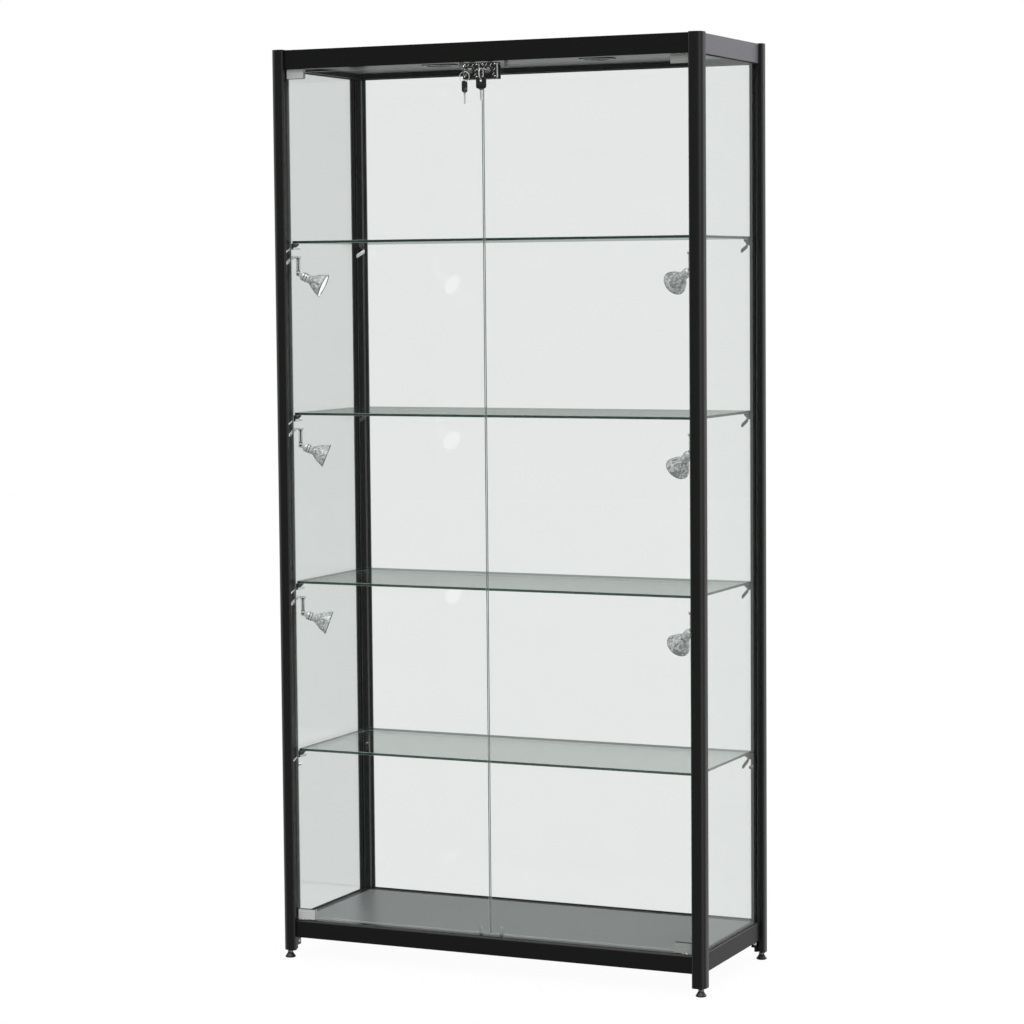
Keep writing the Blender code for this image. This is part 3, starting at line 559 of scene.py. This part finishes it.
def dress_glass():
    """Panes with dark ground edges and a pale arris, partly the frosted look of a ground arris and
    partly a painted highlight line; each is thin along the axis given.
    """
    def narrow(thin_axis):
        return lambda face: int(abs(face.normal[thin_axis]) < 0.5)

    panes = {"back_glass": ("back", 1), "side_glass_left": ("side_left_painted_shade", 0),
             "side_glass_right": ("side_right", 0), "door_glass_left": ("door", 1),
             "door_glass_right": ("door", 1)}
    panes.update({f"shelf_{number}": ("shelf", 2) for number in range(1, SHELVES + 1)})
    for node, (material, axis) in panes.items():
        dress(node, (material, "edge", "arris_painted_highlight"), narrow(axis), smooth=False)
        soften(node, 0.00045, 1, 2)


def dress_fittings():
    for side in SIDES:
        for level in ("top", "bottom"):
            # the right door's clamps take the darker copy of the satin finish, painted shade
            dress(f"hinge_{level}_{side}", ("satin" if side == "left" else "satin_painted_shade",))
            soften(f"hinge_{level}_{side}", 0.0005)
        dress(f"lock_case_{side}", ("dark_chrome",))
        soften(f"lock_case_{side}", 0.0009, 3)
        dress(f"lock_bolt_{side}", ("chrome",))
        soften(f"lock_bolt_{side}", 0.0005)
        for level in LEVELS:
            dress(f"spot_bracket_{side}_{level}", ("bright",))
            soften(f"spot_bracket_{side}_{level}", 0.0003)
            axis = Vector(JOINTS[f"spot_head_{side}_{level}_tilt"]["axis"])
            dress(f"spot_arm_{side}_{level}", ("bright", "dark_chrome"),
                  lambda face, axis=axis: int(abs(face.normal.dot(axis)) > 0.95))
            soften(f"spot_arm_{side}_{level}", 0.0003)


# ---------------------------------------------------------------- fittings of the case
def make_seals():
    """Rubber lips on both faces of the fixed panes, along the posts and rails that hold them."""
    lip, rise, gap = 0.0013, 0.0017, 0.00005
    bottom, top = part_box("rail_bottom_back")[1].z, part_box("rail_top_back")[0].z
    for node, axis in (("back_glass", 1), ("side_glass_left", 0), ("side_glass_right", 0)):
        low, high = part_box(node)
        along = 1 - axis
        start, end = low[along] + 0.007, high[along] - 0.007
        middle = (low[axis] + high[axis]) / 2
        strips = []
        for way in (-1, 1):
            near, far = middle + way * (GLASS / 2 + gap), middle + way * (GLASS / 2 + gap + lip)
            for a0, a1, z0, z1 in (
                (start, end, bottom, bottom + rise), (start, end, top - rise, top),
                (start, start + rise, bottom + rise, top - rise),
                (end - rise, end, bottom + rise, top - rise),
            ):
                corners = [[0.0, 0.0, z0], [0.0, 0.0, z1]]
                corners[0][axis], corners[1][axis] = near, far
                corners[0][along], corners[1][along] = a0, a1
                strips.append(block("seal", *corners, "rubber", 0.0003))
        add(join(f"{node}_seal", strips), "case", "black_plastic")


def capsule(long, wide, thick):
    """A flat bar with round ends, centred, long along X and proud along Z."""
    half = long / 2 - wide / 2
    outline = arc((half, 0), wide / 2, -90, 90, 8) + arc((-half, 0), wide / 2, 90, 270, 8)
    return slab("capsule", outline, thick, "chrome", min(0.0006, 0.3 * thick))


def make_shelf_clips():
    """A bar and a screw inside each shelf support; at the front also a strip on the post."""
    for number in range(1, SHELVES + 1):
        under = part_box(f"shelf_{number}")[0].z
        for end, way in ENDS.items():
            for side, s in SIDES.items():
                front = end == "front"
                post_face = post_edge(end) + way * POST
                long, wide, drop, slope = (
                    (0.030, 0.0050, 0.0110, 0) if front else (0.042, 0.0085, 0.0205, 17)
                )
                turn, flat = turned(-s * 90, "Y"), turned(90, "Z")
                middle = (s * SUPPORT_X, post_face + way * (long / 2 - 0.001), under - drop)
                bar = capsule(long, wide, 0.0020)
                bars = [place(bar, at(middle) @ turned(slope, "X") @ turn @ flat)]
                spot = (s * SUPPORT_X, post_face + way * 0.0052, under - 0.0048)
                screw = place(screw_head(0.0030, 0.0013, "dark_chrome"), towards((-s, 0, 0), spot))
                if front:
                    inward = cad_box[1].x - POST - 0.0001
                    middle = (s * inward, post_face - way * 0.0135, under - 0.014)
                    strip = capsule(0.025, 0.0030, 0.0008)
                    bars.append(place(strip, at(middle) @ turned(21, "X") @ turn @ flat))
                # the bars are all alike: the front ones and the top shelf's rear left one get the
                # bright finish as a painted highlight, and the other rear ones get black plastic as
                # painted shade
                finish = "bright" if front or (number == SHELVES and s < 0) else "plastic"
                for bar in bars:
                    bar.data.materials[0] = MATERIALS[finish]
                parts = [bars[0], screw, *bars[1:]]
                add(join(f"shelf_clip_{end}_{side}_{number}", parts), "case", "chrome")


def make_shelf_pegs():
    """A spare chrome support peg in each post below the bottom shelf."""
    peg_x, peg_z = 0.473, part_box("shelf_1")[0].z - 0.030
    profile = ((0, 0), (0.0042, 0), (0.0042, 0.0012), (0.0030, 0.0016), (0.0030, 0.0095),
               (0.0036, 0.0100), (0.0036, 0.0120), (0.0028, 0.0130), (0, 0.0130))
    for end, way in ENDS.items():
        for side, s in SIDES.items():
            peg = lathe(f"shelf_peg_{end}_{side}", profile, "chrome", 24)
            place(peg, towards((0, way, 0), (s * peg_x, post_edge(end) + way * POST, peg_z)))
            add(peg, "case", "chrome")


def make_corner_screws():
    """Screws through the posts' corner tabs into the ends of the bottom rails."""
    for end, way in ENDS.items():
        for side, s in SIDES.items():
            x, y = s * cad_box[1].x, post_edge(end)
            off, z = 0.0215, 0.0375
            parts = [
                place(screw_head(0.0040, 0.0020, "bright"), towards(direction, spot))
                for direction, spot in (
                    ((0, way, 0), (x - s * off, y + way * POST, z)),
                    ((-s, 0, 0), (x - s * POST, y + way * off, z)),
                )
            ]
            add(join(f"corner_screws_{end}_{side}", parts), "case", "chrome")


def make_pivot_plates():
    """Thin chrome plates on the front rails at the door pins, each with three small dome screws."""
    top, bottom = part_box("rail_top_back")[0].z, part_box("rail_bottom_back")[1].z
    y = post_edge("front") + PIVOT_BACK
    half_wide, thick = 0.0017, 0.0003
    for side, s in SIDES.items():
        for level, z, way in (("top", top, -1), ("bottom", bottom, 1)):
            parts = [block("plate", (s * 0.4665, y - half_wide, z),
                           (s * 0.4435, y + half_wide, z + way * thick), "chrome", 0.0001)]
            for x in (0.4630, 0.4550, 0.4470):
                parts.append(place(screw_head(0.0016, 0.0006, "bright", 1),
                                   towards((0, 0, way), (s * x, y, z + way * thick))))
            add(join(f"pivot_plate_{level}_{side}", parts), "case", "chrome")


# ---------------------------------------------------------------- doors
def make_hinge_details():
    """Rubber lining at each clamp's mouth, two grub screws behind and a knurled bush on its pin."""
    def knurl(angle, index):
        return 0.00025 * (index in (1, 2, 3)) * math.cos(18 * angle)

    for side in SIDES:
        for level, way in (("top", 1), ("bottom", -1)):
            low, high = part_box(f"hinge_{level}_{side}")
            glass_low, glass_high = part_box(f"door_glass_{side}")
            y = (glass_low.y + glass_high.y) / 2
            mouth = low.z if level == "top" else high.z
            parts = []
            for face in (-1, 1):
                near, far = y + face * (GLASS / 2 + 0.0001), y + face * (GLASS / 2 + 0.0012)
                parts.append(block("lining", (low.x + 0.0006, near, mouth - way * 0.0007),
                                   (high.x - 0.0006, far, mouth + way * 0.0001), "rubber", 0.0002))
            for share in (0.3, 0.72):
                x = low.x + (high.x - low.x) * share
                ring = tube("ring", (0.0016, 0.0030), (0, 0.0006), "steel", 6, smooth=0)
                core = tube("core", (0, 0.0017), (0, 0.0002), "plastic", 12)
                spot = (x, high.y, mouth + way * 0.0075)
                parts += [place(part, towards((0, 1, 0), spot)) for part in (ring, core)]
            bush = lathe("bush", (
                (0.0032, 0), (0.0058, 0), (0.0060, 0.0003), (0.0058, 0.0006), (0.0032, 0.0006)),
                "chrome", 36, knurl, closed=True)
            pin = JOINTS[f"door_{side}_hinge"]["pos_m"]
            web = RAIL_GAPS[level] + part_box(f"rail_{level}_back")[0 if level == "top" else 1].z
            parts.append(place(bush, towards((0, 0, way), (pin[0], pin[1], web))))
            add(join(f"hinge_details_{level}_{side}", parts), f"door_{side}", "black_plastic")


def make_lock_details():
    """Bezel and corner screws on each lock case, with bright edge strips and short diagonal bars that
    are painted highlights and glints.
    """
    for side in SIDES:
        low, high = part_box(f"lock_case_{side}")
        pos = Vector(JOINTS[f"lock_barrel_{side}_turn"]["pos_m"])
        face_y = pos.y + 0.003
        bezel = lathe("bezel", ((0.0069, 0), (0.0108, 0), (0.0108, 0.0008), (0.0100, 0.0018),
                                (0.0078, 0.0024), (0.0069, 0.0024)), "dark_chrome", 48, closed=True)
        parts = [place(bezel, towards((0, -1, 0), (pos.x, face_y, pos.z)))]
        for dx, dz in ((-0.0140, -0.0125), (0.0140, -0.0125), (-0.0140, 0.0128), (0.0140, 0.0128)):
            parts.append(place(screw_head(0.0021, 0.0008, "chrome"),
                               towards((0, -1, 0), (pos.x + dx, face_y, pos.z + dz))))
        mid_y = (low.y + high.y) / 2
        # thin bright strips on the case's sides: painted highlight lines along its edges
        for x, way in ((low.x, -1), (high.x, 1)):
            parts.append(block("strip", (x, mid_y - 0.0085, low.z + 0.0022),
                               (x + way * 0.0005, mid_y - 0.0035, high.z - 0.0022), "bright", 0.0002))
        # short bright diagonal bars on the face: painted glints standing in for reflections on the
        # dark chrome case
        for dx, dz, half in (
            (-0.0122, 0.0052, 0.0040), (-0.0128, -0.0030, 0.0034), (0.0128, 0.0020, 0.0036),
            (-0.0060, 0.0120, 0.0036), (0.0050, 0.0124, 0.0030), (0.0110, -0.0070, 0.0030),
        ):
            rib = block("rib", (-half, -0.0004, -0.0005), (half, 0, 0.0005), "bright", 0.0001)
            parts.append(place(rib, at((pos.x + dx, face_y, pos.z + dz)) @ turned(-45, "Y")))
        add(join(f"lock_details_{side}", parts), f"door_{side}", "dark_chrome")


def key_bow(thick, finish="plastic", grow=0.0004):
    """Key head in XY from y = 0, with a ring hole; a plastic one gets a grip and a rim."""
    half_x, half_y = 0.011 + grow, KEY_HEAD / 2
    outline = [(x, y + half_y) for x, y in rounded(half_x, half_y, 0.005, 6)]
    hole_y = KEY_HEAD - KEY_HOLE_IN
    parts = [slab("bow", outline, thick, finish, 0.0006, hole=(0, hole_y, KEY_HOLE_OPEN))]
    if finish == "plastic":
        grip = slab("grip", [(x, y + 0.0068) for x, y in rounded(0.0072, 0.0042, 0.002, 4)], 0.0004,
                    "dark_chrome", 0.0001)
        parts.append(place(grip, at((0, 0, thick))))
        rim = tube("rim", (KEY_HOLE_OPEN, 0.0048), (0, 0.0004), finish, 24)
        parts.append(place(rim, at((0, hole_y, thick))))
    return place(join("bow", parts), at((0, 0, -thick / 2)))


def key_blade(long):
    """Flat blade down -Y from y = 0 with a milled groove and cut teeth."""
    half, thick = 0.0030, 0.0018
    cuts = (0.0008, 0.0014, 0.0005, 0.0016, 0.0010, 0.0004)
    edge = []
    for index, cut in enumerate(cuts):
        start = -long * 0.35 - index * long * 0.10
        edge += [(half, start), (half - cut, start - long * 0.045)]
    outline = [(half, 0)] + edge + [(half * 0.4, -long), (-half * 0.4, -long), (-half, -long * 0.93),
                                    (-half, 0)]
    blade = slab("blade", outline, thick, "bright", 0.0002)
    groove = block("groove", (-0.0011, -long * 0.86, thick), (-0.0004, -0.001, thick + 0.0001),
                   "dark_chrome", 0)
    shoulder = block("shoulder", (-0.0042, -0.0030, -0.0001), (0.0042, 0.0008, thick + 0.0001),
                     "steel", 0.0003)
    return place(join("blade", [blade, groove, shoulder]), at((0, 0, -thick / 2)))


def make_keys():
    """A key in each lock, and a split ring with a second key hanging from it."""
    for side in SIDES:
        pos = Vector(JOINTS[f"lock_barrel_{side}_turn"]["pos_m"])
        upright = side == "left"
        barrel = lathe("barrel", (
            (0, -0.0006), (0.0045, -0.0006), (0.0060, -0.0001), (0.0064, 0.0008), (0.0064, 0.0140),
            (0, 0.0140)), "chrome", 40)
        place(barrel, towards((0, 1, 0), pos))
        flat = turned(90, "Y") if upright else Matrix.Identity(4)
        out = at(pos) @ flat @ Matrix.Scale(-1, 4, (0, 1, 0))
        neck = block("neck", (-0.0032, -0.001, -0.0010),
                     (0.0032, KEY_NECK + 0.001, 0.0010), "steel", 0.0002)
        collar = block("collar", (-0.0050, KEY_NECK - 0.0022, -0.0012),
                       (0.0050, KEY_NECK + 0.0005, 0.0012), "steel", 0.0003)
        bow = place(key_bow(KEY_THICK, "chrome", 0), at((0, KEY_NECK, 0)))
        parts = [place(part, out) for part in (neck, collar, bow)]
        for part in parts:
            part.data.flip_normals()
        node = f"lock_barrel_{side}"
        add(join(f"fitted_key_{side}", [barrel] + parts), node, "chrome", node)
        make_ring_and_key(side, upright)


def make_ring_and_key(side, upright):
    """Two coils of wire through the fitted key's hole, and the spare key at their lowest point."""
    swing = Vector(JOINTS[f"spare_key_{side}_swing"]["pos_m"])
    centre = swing - Vector((0, 0, RING_RADIUS))
    ring_turn = turned(90, "X" if upright else "Y")
    coils = []
    for shift in (-1, 1):
        coil = torus("coil", RING_RADIUS, RING_WIRE * 0.52, "bright")
        coils.append(place(coil, at((0, 0, shift * RING_WIRE * 0.48))))
    ring = place(join("ring", coils), at(centre) @ ring_turn)
    hole_drop = KEY_HOLE - RING_WIRE / 2
    hang = centre - Vector((0, 0, RING_RADIUS + hole_drop + KEY_HEAD - KEY_HOLE_IN))
    stand = turned(90, "X")
    key_turn = turned(90, "Z") if upright else Matrix.Identity(4)
    whole = join("spare", [key_bow(KEY_THICK + 0.0006), key_blade(0.0245)])
    place(whole, at(hang) @ key_turn @ stand)
    node = f"spare_key_{side}"
    add(join(f"ring_and_key_{side}", [ring, whole]), node, "chrome", node)


# ---------------------------------------------------------------- lamps
ROUND_RINGS = (0, 8, 9, 17, 18)  # of the bowl's profile: its neck and rim, which have no dents
DARK_FACETS = 0.34  # share of the outer facets with the darker finish
LUG_IN, LUG_OUT, LUG_THICK = 0.00165, 0.00385, 0.0022  # the tilting lugs, from the lamp's middle


def reflector_bowl(facets, seed):
    """Hollow faceted bowl, from its neck to its rim, with a small random dent in each facet."""
    outer = ((0.0098, 0.0300), (0.0112, 0.0330), (0.0142, 0.0372), (0.0174, 0.0420), (0.0202, 0.0468),
             (0.0226, 0.0518), (0.0246, 0.0566), (0.0259, 0.0600), (0.0263, 0.0610))
    inner = [(radius - 0.0013, height + 0.0002) for radius, height in reversed(outer[1:])]
    inner.append((0.0050, 0.0345))
    draw = random.Random(seed)
    dents = {}

    def dent(angle, index):
        key = (round(angle, 3), index)
        if index in ROUND_RINGS:
            return 0
        if key not in dents:
            dents[key] = draw.uniform(-0.00035, 0.00025)
        return dents[key]

    shell = lathe("bowl", list(outer) + inner + [(0.0050, 0.0300)], "reflector", facets, dent,
                  closed=True, smooth=0)
    shell.data.materials.append(MATERIALS["mirror"])
    shell.data.materials.append(MATERIALS["facet"])
    for face in shell.data.polygons:
        middle = face.center
        outward = Vector((middle.x, middle.y, 0)).normalized()
        dark = draw.random() < DARK_FACETS
        face.material_index = 1 if face.normal.dot(outward) < 0 else 2 * dark
    return shell


def lamp_head(seed):
    """Holder, ribbed base, faceted reflector, front glass and capsule bulb, pointing up +Z."""
    holder = lathe("holder", (
        (0, 0.0078), (0.0062, 0.0078), (0.0086, 0.0086), (0.0097, 0.0102), (0.0100, 0.0120),
        (0.0100, 0.0142), (0.0093, 0.0147), (0.0093, 0.0155), (0.0100, 0.0160), (0.0100, 0.0198),
        (0.0093, 0.0203), (0.0093, 0.0211), (0.0100, 0.0216), (0.0100, 0.0258), (0.0096, 0.0268),
        (0.0084, 0.0268), (0, 0.0268)), "bright", 48)
    ribs = lathe("ribs", ((0.0086, 0.0266), (0.0088, 0.0290), (0.0096, 0.0312), (0.0112, 0.0340),
                          (0.0060, 0.0340), (0.0060, 0.0266)), "ceramic", 60,
                 lambda angle, index: 0.00045 * (index < 4) * math.cos(15 * angle), closed=True)
    bowl = reflector_bowl(30, seed)
    rim = place(torus("rim", 0.0256, 0.0008, "dark_chrome"), at((0, 0, 0.0610)))
    lens = lathe("lens", ((0, 0.0606), (0.0120, 0.0602), (0.0250, 0.0592), (0.0250, 0.0600),
                          (0.0200, 0.0612), (0.0120, 0.0618), (0, 0.0620)), "frosted_painted_glow", 40)
    bulb = lathe("bulb", ((0, 0.0345), (0.0042, 0.0345), (0.0046, 0.0380), (0.0046, 0.0460),
                          (0.0036, 0.0492), (0.0014, 0.0508), (0, 0.0510)), "bulb", 24)
    parts = [holder, ribs, bowl, rim, lens, bulb]
    for low in (0.0145, 0.0201):
        parts.append(tube("groove", (0.0090, 0.0097), (low, low + 0.0017), "plastic", 48))
    for way in (-1, 1):
        lug_outline = arc((0, 0), 0.0050, 90, 270, 10) + [(0.0100, -0.0050), (0.0100, 0.0050)]
        lug = slab("lug", lug_outline, LUG_THICK, "bright", 0.0004)
        # the lug's own X becomes the lamp's Z, and its thickness lies along Y
        stand = Matrix(((0, -1, 0, 0), (0, 0, 1, 0), (1, 0, 0, 0), (0, 0, 0, 1)))
        near = LUG_IN if way > 0 else -LUG_OUT
        parts.append(place(lug, at((0, near, 0)) @ stand))
        head = screw_head(0.0030, 0.0012)
        parts.append(place(head, towards((0, way, 0), (0, way * LUG_OUT, 0))))
    pin = tube("pin", (0, 0.0019), (-0.0042, 0.0042), "steel", 16)
    parts.append(place(pin, towards((0, 1, 0))))
    return join("lamp", parts)


def make_spots():
    """The six side lamps, turned the way their CAD heads point, with ribs along their arms."""
    for index, (side, level) in enumerate((a, b) for a in SIDES for b in LEVELS):
        name = f"{side}_{level}"
        tilt = JOINTS[f"spot_head_{name}_tilt"]
        pivot, across = Vector(tilt["pos_m"]), Vector(tilt["axis"]).normalized()
        verts = [vert.co for vert in frame["nodes"][f"spot_head_{name}"].data.vertices]
        aim = sum(verts, Vector()) / len(verts) - pivot
        aim = (aim - across * aim.dot(across)).normalized()
        up = across.cross(aim)
        turn = Matrix((up, across, aim)).transposed().to_4x4()
        head = place(lamp_head(index), at(pivot) @ turn)
        node = f"spot_head_{name}"
        add(join(f"lamp_head_{name}", [head]), node, "lamp_glass", node)
        make_arm_ribs(name, pivot, across)
        make_bracket_screws(name, SIDES[side])


def make_arm_ribs(name, pivot, across):
    """Two ribs down the lamp's arm, from its swivel to just above its tilting pin."""
    swivel = Vector(JOINTS[f"spot_arm_{name}_swivel"]["pos_m"])
    long = swivel.z - pivot.z
    wide = across.cross(Vector((0, 0, 1)))
    turn = Matrix((wide, across, Vector((0, 0, 1)))).transposed().to_4x4()
    ribs = [
        block("rib", (way * 0.0011, -0.0021, -long + 0.0065), (way * 0.0044, 0.0021, -0.0030),
              "bright", 0.0005, 3)
        for way in (-1, 1)
    ]
    piece = place(join(f"arm_ribs_{name}", ribs), at(swivel) @ turn)
    add(piece, f"spot_arm_{name}", "chrome")


def make_bracket_screws(name, s):
    low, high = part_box(f"spot_bracket_{name}")
    x = low.x + 0.0012 if s < 0 else high.x - 0.0012
    parts = [
        place(screw_head(0.0024, 0.0012), towards((-s, 0, 0), (x, low.y + dy, low.z + dz)))
        for dy, dz in ((0.0068, 0.0058), (0.0190, 0.0195))
    ]
    add(join(f"bracket_screws_{name}", parts), "case", "chrome")


def make_downlights():
    """Ceiling lights: dark trim, stepped reflector, lens and bulb below, a finned can above."""
    for side in SIDES:
        node = f"downlight_{side}"
        low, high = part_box(node)
        middle = (low + high) / 2
        base = low.z + 0.0035
        trim = lathe("trim", (
            (0.0285, 0.0006), (0.0285, -0.0030), (0.0300, -0.0035), (0.0382, -0.0035),
            (0.0396, -0.0028), (0.0400, -0.0012), (0.0398, -0.0003), (0.0310, -0.0003),
            (0.0310, 0.0006)), "dark_chrome", 72, closed=True)
        cup = lathe("cup", (
            (0.0286, -0.0010), (0.0262, 0.0010), (0.0258, 0.0030), (0.0226, 0.0042), (0.0150, 0.0100),
            (0.0070, 0.0140), (0, 0.0140), (0, 0.0152), (0.0300, 0.0152), (0.0300, -0.0004)),
            "mirror", 72, closed=True)
        lens = lathe("lens", ((0, -0.0012), (0.0280, -0.0004), (0.0280, 0.0004), (0, -0.0004)),
                     "lens", 60)
        bulb = lathe("bulb", ((0, 0.0020), (0.0030, 0.0032), (0.0042, 0.0060), (0.0042, 0.0135),
                              (0, 0.0135)), "bulb", 24)
        can = lathe("can", ((0, 0.0153), (0.0308, 0.0153), (0.0308, 0.0040), (0.0311, 0.0040),
                            (0.0311, 0.0215), (0.0290, 0.0240), (0, 0.0240)), "zinc", 72,
                    lambda angle, index: -0.0007 * (index in (4, 5)) * (math.cos(24 * angle) > 0))
        terminal = block("terminal", (-0.011, -0.007, 0.0225), (0.011, 0.007, 0.0239),
                         "plastic", 0.0005)
        piece = join(f"ceiling_light_{side}", [trim, cup, lens, bulb, can, terminal])
        place(piece, at((middle.x, middle.y, base)))
        add(piece, "case", "black_plastic", node)


def make_transformer():
    """Supply on the ceiling panel: finned case, screwed terminal cover and the lead's gland."""
    low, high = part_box("lighting_transformer")
    gland_long, fins = 0.010, 22
    end_x = high.x - gland_long
    middle = (low + high) / 2
    parts = [block("body", low, (end_x, high.y, high.z - 0.0012), "plastic", 0.0012, 3)]
    for index in range(fins):
        x = low.x + 0.016 + (end_x - low.x - 0.055) * index / (fins - 1)
        parts.append(block("fin", (x - 0.0009, low.y + 0.003, high.z - 0.0016),
                           (x + 0.0009, high.y - 0.003, high.z), "plastic", 0.0004))
    parts.append(block("cover", (end_x - 0.032, low.y + 0.002, high.z - 0.0014),
                       (end_x - 0.002, high.y - 0.002, high.z - 0.0002), "plastic", 0.0006))
    for x in (end_x - 0.028, end_x - 0.006):
        spot = (x, middle.y, high.z - 0.0004)
        parts.append(place(screw_head(0.0024, 0.0004), towards((0, 0, 1), spot)))
    gland = lathe("gland", ((0.0021, 0), (0.0058, 0), (0.0060, 0.0012), (0.0060, 0.0050),
                            (0.0048, 0.0056), (0.0046, 0.0088), (0.0036, 0.0100),
                            (0.0021, 0.0100)), "plastic", 48,
                  lambda angle, index: 0.0004 * (index in (1, 2, 3)) * (math.cos(6 * angle) - 1) / 2,
                  closed=True)
    bore = tube("bore", (0, 0.0021), (0, 0.0012), "rubber", 24)
    for part in (gland, bore):
        parts.append(place(part, towards((1, 0, 0), (end_x, middle.y, middle.z))))
    add(join("transformer", parts), "case", "black_plastic", "lighting_transformer")


# ---------------------------------------------------------------- feet
def make_feet():
    """Moulded pad, lock nut and threaded stud of each levelling foot."""
    pad = ((0, 0), (0.0098, 0), (0.0109, 0.0005), (0.0114, 0.0014), (0.0115, 0.0030), (0.0108, 0.0036),
           (0.0098, 0.0048), (0.0080, 0.0078), (0.0070, 0.0092), (0.0064, 0.0100), (0.0062, 0.0112),
           (0, 0.0112))
    pitch, turns, nut_z = 0.0010, 26, 0.0114
    thread = [(0, 0.0112)]
    for index in range(turns):
        z = nut_z + index * pitch
        thread += [(0.0036, z), (0.0040, z + pitch / 2)]
    thread += [(0.0036, 0.0400), (0, 0.0400)]
    for end in ENDS:
        for side in SIDES:
            node = f"foot_{end}_{side}"
            pos = Vector(JOINTS[f"{node}_screw"]["pos_m"])
            nut = slab("nut", arc((0, 0), 0.0068, 0, 300, 5), 0.0034, "steel", 0.0003)
            parts = [
                lathe("pad", pad, "plastic", 60),
                place(nut, at((0, 0, nut_z))),
                lathe("stud", thread, "steel", 32, smooth=0),
            ]
            piece = place(join(f"levelling_foot_{end}_{side}", parts), at(pos))
            add(piece, node, "black_plastic", node)


# ---------------------------------------------------------------- stage
def make_camera():
    data = bpy.data.cameras.new("camera")
    data.lens = LENS
    data.sensor_width = 36.0
    data.clip_end = 60.0
    camera = new_object("camera", data)
    look = Vector(CAMERA_TARGET) - Vector(CAMERA_PLACE)
    turn = look.to_track_quat("-Z", "Y").to_matrix().to_4x4()
    roll = turned(CAMERA_ROLL, "Z")
    camera.matrix_world = at(CAMERA_PLACE) @ turn @ roll
    bpy.context.scene.camera = camera


def make_floor():
    """A pale disc that mostly gives its own light, so it stays near white, and isn't mirrored."""
    bm = bmesh.new()
    bmesh.ops.create_circle(bm, cap_ends=True, radius=14.0, segments=96)
    mesh = bpy.data.meshes.new("floor")
    bm.to_mesh(mesh)
    bm.free()
    material, tree = new_material("pale_floor")
    grain = noise(tree, 3.0, (1, 1, 1), 4.0)
    colour = blend(tree, spread(tree, grain, 0, 1), (0.90, 0.90, 0.90, 1), (0.93, 0.93, 0.93, 1))
    shader = add_node(tree, "ShaderNodeBsdfPrincipled", {
        "Base Color": colour, "Roughness": 0.85, "Specular IOR Level": 0.1,
    })
    glow = add_node(tree, "ShaderNodeEmission", {"Color": BACKDROP, "Strength": 1.0})
    finish_material(tree, mix(tree, FLOOR_GLOW, shader, glow))
    mesh.materials.append(material)
    floor = new_object("floor", mesh)
    floor.visible_glossy = False


def make_world():
    """Plain white to the camera; large soft lights and a dim room to everything else."""
    world = bpy.data.worlds.new("studio")
    world.use_nodes = True
    tree = world.node_tree
    tree.nodes.clear()
    way = add_node(tree, "ShaderNodeTexCoord").outputs["Generated"]
    total = ROOM_LIGHT
    for direction, full, end, strength, colour in SOFTBOXES:
        unit = Vector(direction).normalized()
        cosine = add_node(tree, "ShaderNodeVectorMath", {0: way, 1: unit}, operation="DOT_PRODUCT")
        light = spread(tree, cosine.outputs["Value"], 0.0, 1.0,
                       math.cos(math.radians(end)), math.cos(math.radians(full)))
        total = blend(tree, light, total, tinted(colour, strength), "ADD")
    lit = add_node(tree, "ShaderNodeBackground", {"Color": total, "Strength": 1.0})
    plain = add_node(tree, "ShaderNodeBackground", {"Color": BACKDROP, "Strength": 1.0})
    seen = add_node(tree, "ShaderNodeLightPath").outputs["Is Camera Ray"]
    add_node(tree, "ShaderNodeOutputWorld", {"Surface": mix(tree, seen, lit, plain)})
    bpy.context.scene.world = world


def make_sun():
    data = bpy.data.lights.new("sun", "SUN")
    data.energy = SUN_STRENGTH
    data.angle = math.radians(SUN_SIZE)
    sun = new_object("sun", data)
    sun.rotation_euler = [math.radians(angle) for angle in SUN_TURN]


def set_view():
    """Plain colours, and enough passes for a ray to leave through every pane in its way."""
    scene = bpy.context.scene
    scene.view_settings.view_transform = "Standard"
    scene.cycles.transparent_max_bounces = 64


def main():
    make_camera()
    make_world()
    make_sun()
    make_floor()
    set_view()
    dress_frame()
    dress_panels()
    dress_glass()
    dress_fittings()
    make_seals()
    make_shelf_clips()
    make_shelf_pegs()
    make_corner_screws()
    make_pivot_plates()
    make_hinge_details()
    make_lock_details()
    make_keys()
    make_spots()
    make_downlights()
    make_transformer()
    make_feet()


main()
